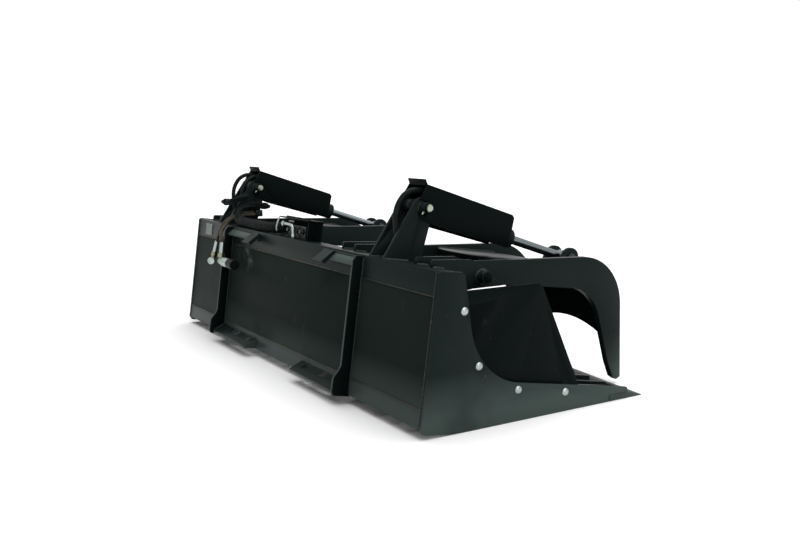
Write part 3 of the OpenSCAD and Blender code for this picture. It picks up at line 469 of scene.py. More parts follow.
def base_material(name, metallic, roughness, gloss=0.5):
    """A material, its nodes and its Principled shader, with the plain values set."""
    m = bpy.data.materials.new(name)
    m.use_nodes = True
    shader = m.node_tree.nodes["Principled BSDF"]
    shader.inputs["Metallic"].default_value = metallic
    shader.inputs["Roughness"].default_value = roughness
    shader.inputs["Specular IOR Level"].default_value = gloss
    if not metallic:
        shader.inputs["Specular Tint"].default_value = PAINTED_LIGHT_CAST
    return m, Nodes(m.node_tree), shader


def seen_ray(n):
    """One for what the camera sees, straight or in shiny or clear surfaces, zero for what lights."""
    ray = n.add("ShaderNodeLightPath").outputs
    shiny = n.math("MAXIMUM", ray["Is Glossy Ray"], ray["Is Transmission Ray"])
    return n.math("MAXIMUM", ray["Is Camera Ray"], shiny)


def coat(name, tint, roughness, wear_and_highlight, rust, groups, gloss=0.06, floor_reflection=0.0, scuffs=(), rear_face_light=0.0):
    """Satin powder coat with paint rubbed off the edges and painted edge highlights, settled dust, scratches
    and a few rust specks, and where asked a painted floor reflection low on upright faces and painted light
    on faces turned to the rear.
    """
    m, n, shader = base_material(name, 0.0, roughness, gloss)
    grain = n.effect(groups["grain"])
    specks = n.effect(groups["specks"], amount=rust)["Mask"]
    edge = n.effect(groups["edge"], width=0.0022, amount=wear_and_highlight)["Mask"]
    c = n.mix(n.times(grain["Gloss"], 0.5), tint, times(tint, 1.35, 1.3))
    c = n.mix(n.times(grain["Dust"], 0.22), c, SETTLED_DUST)
    c = n.mix(n.times(n.effect(groups["scratch"])["Mask"], 0.35), c, SCRATCHED)
    # Painted reflection of the floor, lighter low on upright faces
    if floor_reflection:
        c = n.mix(n.times(n.effect(groups["dust"])["Mask"], floor_reflection), c, PAINTED_FLOOR_REFLECTION)
    if rear_face_light:
        # Painted light: faces turned to the rear are made lighter
        rear = n.ramp(n.part_of(n.normal(), "Y"), -0.55, -0.9)
        c = n.mix(n.times(rear, rear_face_light), c, PAINTED_REAR_LIGHT)
    for centre, size, share in scuffs:
        place = n.place()
        away = n.add("ShaderNodeVectorMath", {0: place, 1: centre}, operation="DISTANCE").outputs["Value"]
        patches = n.ramp(n.noise(place, 42.0, 5.0, 0.7), 0.45, 0.62)
        spot = n.times(n.ramp(away, size, size * 0.25), patches)
        c = n.mix(n.times(spot, share), c, SCUFFED)
    # Lighter edges: paint rubbed off, together with painted edge highlights
    c = n.mix(n.times(edge, 0.55), c, WORN_EDGE_AND_HIGHLIGHT)
    c = n.mix(n.times(specks, 0.8), c, RUST_SPECK)
    n.link(c, shader.inputs["Base Color"])
    rough = n.math("ADD", n.times(grain["Gloss"], 0.10), roughness - 0.05)
    n.link(n.math("ADD", rough, n.times(specks, 0.3)), shader.inputs["Roughness"])
    n.bump(shader, 0.10, 0.0004, grain["Height"])
    return m


def weld_metal(name, tint, groups, rust=0.0):
    """A painted weld bead with tan specks where the coat is thin."""
    m, n, shader = base_material(name, 0.0, 0.42, gloss=0.22)
    c = n.mix(n.times(n.effect(groups["grain"])["Gloss"], 0.6), tint, times(tint, 1.7))
    c = n.mix(n.times(n.effect(groups["specks"], amount=0.5)["Mask"], 0.85), c, BEAD_SPECK)
    if rust:
        # Long runs of rust where water stands on the seam
        runs = n.ramp(n.noise(n.place(), 5.0, 6.0, 0.7), 0.48, 0.66)
        c = n.mix(n.times(runs, rust), c, RUST_RUN)
    n.link(c, shader.inputs["Base Color"])
    return m


def metal(name, tint, roughness, groups, brush):
    """Bare or plated steel with a faint uneven sheen."""
    m, n, shader = base_material(name, 1.0, roughness)
    grain = n.effect(groups["grain"])
    c = n.mix(n.times(grain["Gloss"], 0.6), tint, times(tint, 0.72, 0.7))
    n.link(c, shader.inputs["Base Color"])
    n.link(n.math("ADD", n.times(grain["Dust"], 0.35), roughness), shader.inputs["Roughness"])
    if brush:
        values = {"Vector": n.place(), "Scale": (900.0, 30.0, 30.0)}
        along = n.add("ShaderNodeMapping", values).outputs["Vector"]
        n.bump(shader, brush, 0.0003, n.noise(along, 1.0, 2.0))
    return m


def rubber(name, tint, roughness, weave):
    """Hose cover, or a woven sleeve where weave is above zero."""
    m, n, shader = base_material(name, 0.0, roughness, gloss=0.07)
    place = n.place()
    patches = n.ramp(n.noise(place, 38.0, 5.0, 0.65), 0.35, 0.75)
    n.link(n.mix(patches, tint, times(tint, 2.2, 2.1)), shader.inputs["Base Color"])
    height = fine = n.noise(place, 420.0, 2.0)
    if weave:
        threads = []
        for size, way in ((130.0, "DIAGONAL"), (150.0, "X")):
            values = {"Vector": place, "Scale": size, "Distortion": 1.5, "Detail": 1.0}
            threads.append(n.add("ShaderNodeTexWave", values, bands_direction=way).outputs["Fac"])
        height = n.math("ADD", n.times(*threads), n.times(fine, 0.4))
    n.bump(shader, max(0.15, weave), 0.0006, height)
    return m


# Chalky rubs on the back sheet where the couplers swing against it: centre, size, share
SCUFFS = ((at(-396, 46, 402), 0.040, 0.55), (at(-356, 46, 368), 0.034, 0.6),
          (at(-372, 46, 340), 0.020, 0.4))
# Each finish's material, once the finishes are made
MATERIALS = {}
# Loose triangle corners of a CAD node within this distance are one
MERGE_WITHIN = 0.00002
BLACK = colour(20, 28, 27)
# Name, colour as seen on a screen, roughness, and how strong the brushing or weave is
METALS = {
    "steel_black": ("Blackened steel", (40, 44, 43), 0.45, 0.0),
    "steel_dark": ("Oiled steel", (66, 70, 68), 0.42, 0.0),
    "bright": ("Turned steel", (168, 176, 160), 0.34, 0.15),
    "chrome": ("Hard chrome", (120, 128, 131), 0.2, 0.0),
    "zinc": ("Zinc plate", (168, 180, 178), 0.28, 0.0),
    "zinc_dark": ("Zinc plate, dull", (150, 156, 150), 0.36, 0.0),
    "zinc_green": ("Zinc plate, olive", (142, 154, 128), 0.36, 0.0),
    "zinc_tan": ("Zinc plate, tan", (150, 140, 116), 0.36, 0.0),
    "label": ("Bare label plate", (98, 106, 103), 0.42, 0.1),
}
COVERS = {
    "rubber": ("Hose cover", (17, 20, 20), 0.42, 0.0),
    "sleeve": ("Woven sleeve", (13, 15, 16), 0.7, 0.6),
    "whip": ("Whip hose cover", (52, 49, 41), 0.38, 0.0),
    "black": ("Black plastic", (11, 12, 12), 0.4, 0.0),
    "pale": ("Pale plastic", (150, 154, 150), 0.45, 0.0),
}
# The finish of a CAD node, by how its name begins
FINISH_OF = {
    "panel_bolts": "zinc", "coupler_flange": "coat_flange", "coupler": "zinc", "valve_block": "steel_dark",
    "hose_bulkheads": "steel_black", "cylinder_fittings": "steel_dark", "tower_pin": "bright",
    "rod_pin_ends": "steel_dark", "rod_lugs": "coat", "rod_": "chrome", "hinge_pins": "coat_dark",
    "piston": "bright", "hose_": "rubber", "whip_": "whip", "end_panel": "coat_dark", "tines": "coat_dark",
    "guard": "coat_dark", "valve_box": "coat_dark", "back_sheet": "coat_sheet", "top_lip": "coat_lip",
}


def finish_of(node):
    """The finish that a CAD node gets, the plain coat where no name matches."""
    return next((finish for start, finish in FINISH_OF.items() if node.startswith(start)), "coat")


# Values a user would change

SHARE = {"min": 0.0, "max": 1.0, "subtype": "FACTOR"}
LENGTH = {"min": 0.0, "precision": 4, "unit": "LENGTH"}


class GrappleCoat(bpy.types.PropertyGroup):
    tint: FloatVectorProperty(
        name="Coat colour", description="Colour of the outer powder coat", default=BLACK, size=4,
        min=0.0, max=1.0, subtype="COLOR")
    roughness: FloatProperty(
        name="Roughness", description="How rough the powder coat is", default=0.36, **SHARE)
    edge_wear_and_highlight: FloatProperty(
        name="Edge wear", description="Share of the edges that are worn", default=0.45, **SHARE)
    rust: FloatProperty(
        name="Rust specks", description="How many rust specks the coat has", default=0.10, **SHARE)
    floor_reflection: FloatProperty(
        name="Painted floor reflection", description="Painted floor reflection on the lower upright faces", default=0.75, **SHARE)
    bevel: FloatProperty(
        name="Edge rounding", description="Width of the rounding on plate edges",
        default=0.0009, max=0.003, **LENGTH)


class GrappleWelds(bpy.types.PropertyGroup):
    radius: FloatProperty(
        name="Bead radius", description="Radius of a weld bead", default=0.0036, max=0.008, **LENGTH)
    pitch: FloatProperty(
        name="Ripple pitch", description="Distance between ripples", default=0.0046, max=0.012, **LENGTH)
    step: FloatProperty(
        name="Ring spacing", description="Distance between a bead's rings",
        default=0.002, max=0.006, **LENGTH)
    jitter: FloatProperty(
        name="Unevenness", description="How far a bead wanders", default=0.00045, max=0.002, **LENGTH)


class GrappleHoses(bpy.types.PropertyGroup):
    loop_radius: FloatProperty(
        name="Loop hose radius", description="Radius of the hoses behind a cylinder",
        default=0.009, max=0.014, **LENGTH)
    whip_radius: FloatProperty(
        name="Whip radius", description="Radius of the two coupler hoses", default=0.007, max=0.012, **LENGTH)
    step: FloatProperty(
        name="Ring spacing", description="Distance between a hose's rings",
        default=0.004, max=0.012, **LENGTH)


class GrappleLight(bpy.types.PropertyGroup):
    sky: FloatProperty(
        name="Sky strength", description="Strength of the wall in front", default=1.0, min=0.0, max=4.0)
    key: FloatProperty(
        name="Overhead strength", description="Strength of the soft light from above", default=1.8,
        min=0.0, max=20.0)
    dim: FloatProperty(
        name="Sky behind the camera", description="Strength of the room behind, as a share of the wall",
        default=0.22, **SHARE)


# Finishes and edges


class GRAPPLE_OT_finishes(bpy.types.Operator):
    """Makes the materials and puts one on every CAD piece"""
    bl_idname = "grapple.finishes"
    bl_label = "Finishes"

    def execute(self, context):
        c = context.scene.grapple_coat
        # The "dust" entry is the painted floor reflection
        groups = {"edge": edge_wear_and_highlight_group(), "grain": grain_group(), "scratch": scratch_group(),
                  "specks": specks_group(), "dust": floor_reflection_group()}
        rough, worn_or_highlit, rust, M = c.roughness, c.edge_wear_and_highlight, c.rust, MATERIALS
        M["coat"] = coat("Powder coat", tuple(c.tint), rough, worn_or_highlit, rust, groups, floor_reflection=c.floor_reflection)
        M["coat_sheet"] = coat("Powder coat, back sheet", colour(28, 35, 33), rough + 0.05, 0.2, rust, groups,
                               gloss=0.008, floor_reflection=min(1.0, c.floor_reflection * 1.25), scuffs=SCUFFS)
        # Painted shade: a darker copy of the coat for parts that lie in shade inside and under the grapple,
        # and for the flanges' shaded inner faces
        dark = colour(8, 13, 13)
        M["coat_dark"] = coat("Powder coat, painted shade", dark, rough + 0.04, worn_or_highlit * 0.6, rust * 0.5, groups,
                              gloss=0.03)
        # Painted shade on the flanges, with painted light on their rear faces
        M["coat_flange"] = coat("Powder coat, flange, painted shade and light", dark, rough + 0.04, worn_or_highlit, rust, groups,
                                gloss=0.03, rear_face_light=0.85)
        # Painted light: a lighter copy of the coat for the top lips, whose faces turn up to the light
        M["coat_lip"] = coat("Powder coat, lips, painted light", colour(68, 79, 76), rough + 0.02, worn_or_highlit, rust * 2, groups)
        M["weld"] = weld_metal("Weld bead", colour(38, 46, 44), groups)
        M["weld_dark"] = weld_metal("Painted bead", colour(23, 30, 29), groups)
        M["weld_rust"] = weld_metal("Rusty seam", colour(24, 29, 27), groups, rust=0.6)
        for key, (name, seen, rough, brush) in METALS.items():
            M[key] = metal(name, colour(*seen), rough, groups, brush)
        for key, (name, seen, rough, weave) in COVERS.items():
            M[key] = rubber(name, colour(*seen), rough, weave)
        for name, o in frame["nodes"].items():
            o.data.materials.clear()
            o.data.materials.append(M[finish_of(name)])
        return {"FINISHED"}


class GRAPPLE_OT_edges(bpy.types.Operator):
    """Rounds the edges of the CAD pieces with modifiers, so that they catch light"""
    bl_idname = "grapple.edges"
    bl_label = "Edge rounding"

    def execute(self, context):
        width = context.scene.grapple_coat.bevel
        for name, o in frame["nodes"].items():
            if name.startswith(("hose_loops", "hose_bundle", "hose_wrap", "whip_hose")):
                continue
            weld = o.modifiers.new("Join seams", "WELD")
            weld.merge_threshold = MERGE_WITHIN
            bevel = o.modifiers.new("Edge rounding", "BEVEL")
            bevel.width = width
            bevel.segments = 2
            bevel.limit_method = "ANGLE"
            bevel.angle_limit = math.radians(42)
            bevel.harden_normals = False
            bevel.use_clamp_overlap = True
            o.data.set_sharp_from_angle(angle=math.radians(30))
        return {"FINISHED"}


# Weld seams


# Each seam is a line a little out of its joint, so that the bead stands on it
def back_seams():
    """Level seams above and below the back sheet, broken by the flanges."""
    spans = ((-INNER, -FLANGE_X - FLANGE_T), (-FLANGE_X, FLANGE_X), (FLANGE_X + FLANGE_T, INNER))
    return [[on_back(x, 0.1, u) for x in span] for u in (BACK_L - BEAM_H, RAIL_H) for span in spans]


def side_seams():
    """Seams of the side plates with the back and with the beam's top and front."""
    out = []
    for x in (0.6 - INNER, INNER - 0.6):
        out.append([on_back(x, -0.6, u) for u in (2, BACK_L - 2)])
        out.append([on_back(x, v, BACK_L + 0.4) for v in (2, BEAM_DEPTH - 2)])
        out.append([on_back(x, BEAM_DEPTH + 0.4, u) for u in (BACK_L - BEAM_H + 2, BACK_L - 2)])
    return out


def coupling_seams():
    """Seams of the flanges, and of the lips with the back and the flanges."""
    near = FLANGE_X - 1.5
    lips = ([(TOP_LIP_X + 2, -1.5, 464), (FLANGE_X - 3, -1.5, 464)],
            [(TOP_LIP_X - 42, -1.5, 464.5), (TOP_LIP_X - 2, -1.5, 464.5)],
            [(BOTTOM_LIP_X + 3, -1.5, 43.5), (FLANGE_X - 3, -1.5, 43.5)],
            [(near, -4, 460), (near, -25, 441)],
            [(near, -4, 41.5), (near, -50, 13.2)])
    out = []
    for s in (-1, 1):
        for x in (FLANGE_X - 0.6, FLANGE_X + FLANGE_T + 0.6):
            out.append([on_back(s * x, -0.8, u) for u in (4, 466)])
        out += [[on_back(s * x, v, u) for x, v, u in line] for line in lips]
    return out


def over_beam(x, start, inset, drop, foot):
    """A line along the beam's top and down its front, to foot under the top."""
    return [on_back(x, start, BACK_L + 0.5), on_back(x, BEAM_DEPTH - inset, BACK_L + 0.5),
            on_back(x, BEAM_DEPTH + 0.5, BACK_L - drop), on_back(x, BEAM_DEPTH + 0.5, BACK_L - foot)]


def tower_seams(left):
    """Seams of the tower plates with the beam."""
    return [over_beam(sided(ROD_X + s * k, left), 2, 2, 4, 52) for s in (-1, 1) for k in TOWER_FACES]


def ring(x, centre, r, n=40):
    """A circle round a pin, at the place x."""
    turns = [2 * math.pi * k / n for k in range(n + 1)]
    return [at(x, centre[0] + r * math.cos(a), centre[1] + r * math.sin(a)) for a in turns]


def boss_seams(left):
    """Rings about the tower pin's bosses, thin enough to clear the guard as it swings."""
    return [ring(sided(ROD_X + s * (TOWER_FACES[1] + 0.2), left), TOWER_PIN, 17.8) for s in (-1, 1)]


def ear_seams(left):
    """Seams of the ears with the beam, and rings about the pin collars."""
    out = []
    for outward in (1, -1):
        plate = ARM_X + outward * ARM_SPREAD / 2
        for k in (-EAR_MID, EAR_MID):
            for t in (-EAR_HALF, EAR_HALF):
                out.append(over_beam(sided(plate + k + t, left), 51, 1, 3, BEAM_H - 3))
        out.append(ring(sided(plate + outward * (EAR_MID + EAR_HALF + 0.4), left), PIVOT, 21.3))
    return out


def edge_rear(x):
    """Where the cutting edge starts, at the place x."""
    return LEG_REACH + (HALF_W - abs(x)) * math.tan(math.radians(NOSE))


def tine_seams():
    """Seams of the tines with the edge and the beam, and of the side plates with the edge."""
    out = []
    for i in range(TINES):
        x = (i - (TINES - 1) / 2) * TINE_PITCH
        rear = edge_rear(abs(x) + TINE_T / 2)
        for e in (x - TINE_T / 2, x + TINE_T / 2):
            out.append([at(e, rear + d, EDGE_T + 0.4) for d in (3, 57)])
            out.append([on_back(e, v, BACK_L - BEAM_H - 0.4) for v in (20, 90)])
    for s in (-1, 1):
        outer = ((0.3, 3), (0.3, EDGE_T - 2), (3, EDGE_T + 0.3), (82, EDGE_T + 0.3))
        out.append([at(s * HALF_W, LEG_REACH + d, z) for d, z in outer])
        out.append([at(s * (INNER - 0.4), LEG_REACH + d, EDGE_T + 0.3) for d in (12, 84)])
    return out


def web_path():
    """Outer line of an arm's web, rear to front and down."""
    reach, drop = LEG_REACH - 101.0, PIVOT[1] - 17.0
    shares = ((0.1775, 0.0836), (0.6657, -0.0161), (0.9367, -0.292), (0.9669, -0.7126))
    return [(PIVOT[0] + a * reach, PIVOT[1] + b * drop) for a, b in shares]


def rounded_line(p, r=30.0, n=6):
    """The same line with its inner corners rounded."""
    out = [p[0]]
    for a, b, c in zip(p, p[1:], p[2:]):
        b = Vector(b)
        va, vc = (Vector(a) - b).normalized(), (Vector(c) - b).normalized()
        half = va.angle(vc) / 2
        start, end = (b + v * r / math.tan(half) for v in (va, vc))
        centre = b + (va + vc).normalized() * r / math.sin(half)
        a0 = math.atan2(start.y - centre.y, start.x - centre.x)
        a1 = math.atan2(end.y - centre.y, end.x - centre.x)
        turn = (a1 - a0 + math.pi) % (2 * math.pi) - math.pi
        for k in range(n + 1):
            a = a0 + turn * k / n
            out.append((centre.x + r * math.cos(a), centre.y + r * math.sin(a)))
    return out + [p[-1]]


def arm_seams(left):
    """Seams of the web with the arm plates and the rod lugs, and rings about the bushings."""
    line = rounded_line(web_path())
    line[0], line[-1] = (488.0, 479.5), (line[-1][0], 146.0)
    out = []
    for s in (-1, 1):
        x = sided(ARM_X + s * (ARM_SPREAD - ARM_T) / 2 - s * 0.8, left)
        out.append([at(x, y + 0.3, z + 0.6) for y, z in line])
    b, c = web_path()[1:3]
    for k in (-EAR_MID, EAR_MID):
        for t in (-LUG_HALF, LUG_HALF):
            x = sided(ROD_X + k + t, left)
            spots = [[p + (q - p) * share for p, q in zip(b, c)] for share in (0.29, 0.87)]
            out.append([at(x, y + 0.4, z + 0.6) for y, z in spots])
    for plate in (ARM_X + ARM_SPREAD / 2, ARM_X - ARM_SPREAD / 2):
        for s in (-1, 1):
            out.append(ring(sided(plate + s * (ARM_T / 2 + 0.4), left), PIVOT, 30.2))
    return out


def beads(name, seams, body, props, seed, finish="weld", size=1.0):
    """One piece of weld beads: rippled, slightly uneven tubes sunk half into the joint."""
    rnd = random.Random(seed)
    bm = bmesh.new()
    step = props.step
    for seam in seams:
        path = [p + Vector((rnd.gauss(0, 1), rnd.gauss(0, 1), rnd.gauss(0, 1))) * props.jitter / 3.0
                for p in even_path(seam, step)]
        phase, base = rnd.random() * 6.3, size * props.radius * rnd.uniform(0.92, 1.08)
        total = path_length(path)

        def radius(s):
            """Thin at the seam's ends, with the weaver's ripple and a slow swell."""
            ends = min(1.0, 0.45 + min(s, total - s) / 0.006)
            ripple = 0.13 * math.sin(phase + s * 2.0 * math.pi / props.pitch)
            swell = 0.07 * math.sin(phase * 2 + s * 260.0)
            return base * ends * (1.0 + ripple + swell)

        sweep(bm, path, radius, sides=8)
    return piece(name, bm, finish, body)


class GRAPPLE_OT_welds(bpy.types.Operator):
    """Weld beads along the seams of the bucket, coupling, towers, ears and arms"""
    bl_idname = "grapple.welds"
    bl_label = "Welds"

    def execute(self, context):
        p = context.scene.grapple_welds
        beads("back_welds", back_seams(), "bucket", p, 1, "weld_rust", 0.5)
        beads("side_welds", side_seams(), "bucket", p, 11, "weld_dark", 0.7)
        beads("coupling_welds", coupling_seams(), "bucket", p, 2, "weld_dark", 0.8)
        beads("tine_welds", tine_seams(), "bucket", p, 3)
        for left, side in SIDES:
            beads("tower_welds_" + side, tower_seams(left), "bucket", p, 4 + left, "weld", 1.3)
            beads("boss_welds_" + side, boss_seams(left), "bucket", p, 12 + left, "weld", 0.6)
            beads("ear_welds_" + side, ear_seams(left), "bucket", p, 6 + left, "weld", 1.3)
            beads("arm_welds_" + side, arm_seams(left), "arm_" + side, p, 8 + left)
        return {"FINISHED"}


# Hoses

# Routes as in the drawing. The loops are offsets from the tower pin across the cylinder,
# the others offsets from the left tower's pin or from the valve box's far upper corner.
OUTER_LOOP = (
    (56, 43), (44, 47), (32, 50), (11, 54), (-12, 55), (-34, 51), (-54, 40), (-69, 23), (-80, 3),
    (-86, -20), (-87, -44), (-85, -68), (-82, -92), (-80, -111), (-80, -126), (-84, -139))
INNER_LOOP = (
    (56, 43), (44, 47), (30, 49), (10, 48), (-10, 43), (-28, 33), (-42, 17), (-52, -3),
    (-58, -24), (-61, -48), (-62, -72), (-64, -96), (-69, -118), (-76, -133))
LEFT_TOWER = (-LEFT_OFFSET - ROD_X, TOWER_PIN[0], TOWER_PIN[1])
BOX_END = (-160.0, (BUCKET_H - FOOT_Z) * math.tan(math.radians(LEAN)), BUCKET_H)


def placed(base, table):
    """The places of a table of offsets from base."""
    return [(base[0] + x, base[1] + y, base[2] + z) for x, y, z in table]


BUNDLE_START = placed(BOX_END, (
    (10, 60, 30), (-8, 54, 27), (-30, 46, 24), (-60, 36, 21), (-100, 28, 20), (-150, 24, 20)))
BUNDLE_END = placed(LEFT_TOWER, (
    (200, -126, -140), (170, -126, -140), (152, -126, -137), (139, -125, -128)))
BUNDLE_SPAN = [tuple(a + (b - a) * i / 4 for a, b in zip(BUNDLE_START[-1], BUNDLE_END[0]))
               for i in (1, 2, 3)]
BUNDLE = BUNDLE_START + BUNDLE_SPAN + BUNDLE_END
WRAP = placed(LEFT_TOWER, (
    (139, -125, -128), (126, -124, -119), (110, -115, -104), (94, -98, -91), (81, -72, -81), (75, -43, -77),
    (74, -14, -78), (73, 15, -81), (63, 38, -85), (41, 51, -88), (15, 53, -89), (-12, 52, -89),
    (-38, 49, -87), (-59, 38, -84), (-71, 18, -81), (-74, -8, -77), (-74, -36, -73), (-73, -64, -70),
    (-70, -90, -68), (-58, -111, -66), (-38, -123, -65), (-12, -126, -65), (14, -126, -64), (40, -125, -61),
    (62, -119, -55), (75, -104, -47), (79, -82, -40), (80, -60, -35)))
WHIP_A = placed(LEFT_TOWER, (
    (64, -24, -111), (64, -46, -111), (64, -72, -112), (63, -98, -116), (61, -120, -123),
    (59, -139, -133), (56, -155, -145), (54, -167, -159), (52, -176, -175), (49, -183, -193),
    (45, -188, -211), (40, -192, -229), (34, -194, -247), (28, -196, -264), (22, -198, -280)))
WHIP_B = placed(LEFT_TOWER, (
    (78, -24, -119), (78, -48, -119), (78, -72, -120), (78, -96, -124), (78, -118, -128),
    (79, -138, -135), (81, -154, -145), (85, -167, -157), (92, -180, -169), (102, -192, -180),
    (115, -202, -190), (130, -208, -199), (142, -209, -206), (150, -210, -217), (152, -212, -230)))
# The wrap's hoses: how many, the length of one turn, and their own and the lay's radius
WRAP_HOSES = 3
WRAP_TURN = 0.42
WRAP_RADIUS = 0.0076
WRAP_LAY = 0.0074
BUNDLE_RADIUS = 0.0213
# A loop's hoses stand this many millimetres to each side of their cylinder's middle
LOOP_GAP = 18
# Hoses stay this much inside their solids
HAIR = 0.0002


def ferrule(bm, start, way, length, r_hose, r_out):
    """A crimped ferrule with pressed rings."""
    profile = [(0.0, r_hose), (0.0002, r_out * 0.94), (0.0015, r_out)]
    n = 5
    b = (length - 0.007) / n
    for k in range(n):
        a = 0.003 + (length - 0.007) * k / n
        profile += [(a, r_out), (a + 0.25 * b, r_out * 0.93),
                    (a + 0.7 * b, r_out * 0.93), (a + 0.95 * b, r_out)]
    profile += [(length - 0.002, r_out), (length, r_out * 0.9)]
    lathe(bm, start, way, profile, sides=28)


def zip_ties(bm, path, shares, r):
    """Thin bands with their heads, at these shares of the path's points."""
    for share in shares:
        i = int(share * (len(path) - 1))
        centre, d = path[i], (path[i + 1] - path[i - 1]).normalized()
        nut(bm, centre - d * 0.0024, d, 0.0046, r, r + 0.0008, sides=28)
        u = d.orthogonal().normalized()
        across = d.cross(u)
        slab(bm, centre + u * r - d * 0.003 - across * 0.003, d * 0.006, u * 0.0045, across * 0.006)


FERRULE_BORE = 0.0073  # of the whips, a little over their hoses
# Profiles of turned pieces, as distance along the axis and radius
CONE = ((0, 0.0095), (0.012, 0.0108), (0.022, 0.0125), (0.030, 0.0100), (0.034, 0.004))
COUPLER = ((0, 0.0110), (0.009, 0.0115), (0.0095, 0.0150), (0.013, 0.0160), (0.019, 0.0160), (0.0194, 0.0152),
           (0.0215, 0.0152), (0.0219, 0.0160), (0.034, 0.0160), (0.038, 0.0148), (0.0385, 0.0105),
           (0.0355, 0.0095), (0.0357, 0.002))
COLLAR = ((0, 0.0145), (0.022, 0.0145), (0.0222, 0.0185), (0.031, 0.0185), (0.0312, 0.0150))
DUST_CAP = ((0, 0.0198), (0.0006, 0.0214), (0.046, 0.0214), (0.055, 0.0212), (0.0575, 0.0204),
            (0.0580, 0.0150))


def couplers():
    """The quick couplers at the whips' ends."""
    zinc, rings, black, green, tan = (bmesh.new() for _ in range(5))
    # The first coupler faces the camera's side: ferrule over the hose, nut, elbow, body
    a0 = at(*WHIP_A[-1])
    a_way = (a0 - at(*WHIP_A[-2])).normalized()
    ferrule(zinc, a0 - a_way * 0.050, a_way, 0.054, FERRULE_BORE, 0.0100)
    nut(tan, a0 + a_way * 0.004, a_way, 0.018, 0.0105, 0.0135)
    lathe(tan, a0 + a_way * 0.022, a_way, CONE, sides=28)
    lathe(zinc, a0 + a_way * 0.044, (4.0, -2.6, 0.0), COUPLER, sides=40)
    # The second lies along the back, with a long dust cap
    b0 = at(*WHIP_B[-1])
    b_way = (b0 - at(*WHIP_B[-2])).normalized()
    b1 = b0 + b_way * 0.078
    along = Vector((1, 0, 0))
    ferrule(rings, b0 - b_way * 0.002, b_way, 0.048, FERRULE_BORE, 0.0106)
    nut(green, b0 + b_way * 0.0458, b_way, 0.017, 0.0120, 0.0165)
    bmesh.ops.create_uvsphere(green, u_segments=28, v_segments=18, radius=0.0152,
                              matrix=Matrix.Translation(b1))
    lathe(green, b1, along, COLLAR, sides=6)
    for s in (0.037, 0.052, 0.067, 0.082):
        nut(rings, b1 + along * s, along, 0.004, 0.0198, 0.0206, sides=40, bevel=0.0004)
    lathe(black, b1 + along * 0.098, along, DUST_CAP, sides=40)
    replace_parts(piece("coupler_a_body", zinc, "zinc", "bucket"), "coupler_a")
    piece("coupler_a_nut", tan, "zinc_tan", "bucket")
    piece("coupler_b_rings", rings, "zinc", "bucket")
    piece("coupler_b_nuts", green, "zinc_green", "bucket")
    piece("coupler_cap", black, "black", "bucket")


class GRAPPLE_OT_hoses(bpy.types.Operator):
    """Hose loops, the sleeved bundle and its wrap, and the two whips"""
    bl_idname = "grapple.hoses"
    bl_label = "Hoses"

    def execute(self, context):
        p = context.scene.grapple_hoses
        for left, side in SIDES:
            self.loops(p, left, side)
        self.bundle_and_wrap(p)
        couplers()
        for name, table in (("a", WHIP_A), ("b", WHIP_B)):
            bm = bmesh.new()
            path = route(table, p.step)
            sweep(bm, path, p.whip_radius, sides=20)
            o = piece("whip_" + name, bm, "whip", "bucket")
            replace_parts(o, "whip_hose_" + name)
            path_length(path)
        return {"FINISHED"}

    def loops(self, p, left, side):
        """The two hoses behind a cylinder, looping from the bucket to the barrel."""
        bm, low, high = bmesh.new(), bmesh.new(), bmesh.new()
        pin_y, pin_z = TOWER_PIN
        for table, k in ((OUTER_LOOP, LOOP_GAP), (INNER_LOOP, -LOOP_GAP)):
            x = sided(ROD_X + k, left)
            path = smooth_path([at(x, pin_y + y, pin_z + z) for y, z in table], p.step)
            sweep(bm, path, p.loop_radius - HAIR, sides=20)
            foot = path[-1] - (path[-1] - path[-2]).normalized() * HAIR
            ferrule(low, foot, path[-9] - path[-1], 0.030, 0.0093, 0.0108)
            ferrule(high, path[0], path[8] - path[0], 0.030, 0.0093, 0.0106)
        o = piece("loops_" + side, bm, "rubber", None)
        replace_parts(o, "hose_loops_" + side)
        x = sided(ROD_X, left)
        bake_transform(o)
        piece("loop_ferrules_low_" + side, low, "steel_dark", "bucket")
        piece("loop_ferrules_high_" + side, high, "steel_dark", "barrel_" + side)

    def bundle_and_wrap(self, p):
        """The sleeved bundle along the beam and the wrap round the far tower."""
        bm, ties = bmesh.new(), bmesh.new()
        path = route(BUNDLE, p.step)
        # The sleeve bulges a little over what it holds
        sweep(bm, path, lambda s: BUNDLE_RADIUS + 0.0006 * math.sin(s * 37.0) + 0.0003 * math.sin(s * 171.0),
              sides=32)
        o = piece("bundle_sleeve", bm, "sleeve", "bucket")
        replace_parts(o, "hose_bundle")
        zip_ties(ties, path, (0.16, 0.5, 0.86), 0.0217)
        path = route(WRAP, p.step)
        bm = bmesh.new()
        along = [path_length(path[:i + 1]) for i in range(len(path))]
        # The hoses lie together and turn slowly about each other under the wrap
        for k in range(WRAP_HOSES):
            strand = []
            for c, s, (_, u, v) in zip(path, along, frames(path)):
                a = 2 * math.pi * (k / WRAP_HOSES + s / WRAP_TURN)
                strand.append(c + WRAP_LAY * (math.cos(a) * u + math.sin(a) * v))
            sweep(bm, strand, lambda s: WRAP_RADIUS + 0.0002 * math.sin(s * 90.0), sides=16)
        o = piece("wrap_hoses", bm, "sleeve", "bucket")
        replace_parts(o, "hose_wrap")
        zip_ties(ties, path, (0.22, 0.4, 0.62, 0.8), 0.0150)
        piece("zip_ties", ties, "black", "bucket")


# Small pieces

# The middle lines of the valve block's elbow and the strap
ELBOW = ((-112, 90, 549), (-80, 90, 549), (-47, 90, 548), (-33, 90, 545), (-26, 90, 536), (-26, 91, 521),
         (-27, 92, 504))
STRAP = ((-150, 93, 577), (-156, 88, 562), (-163, 84.5, 545), (-169, 84, 530), (-173, 86, 516))
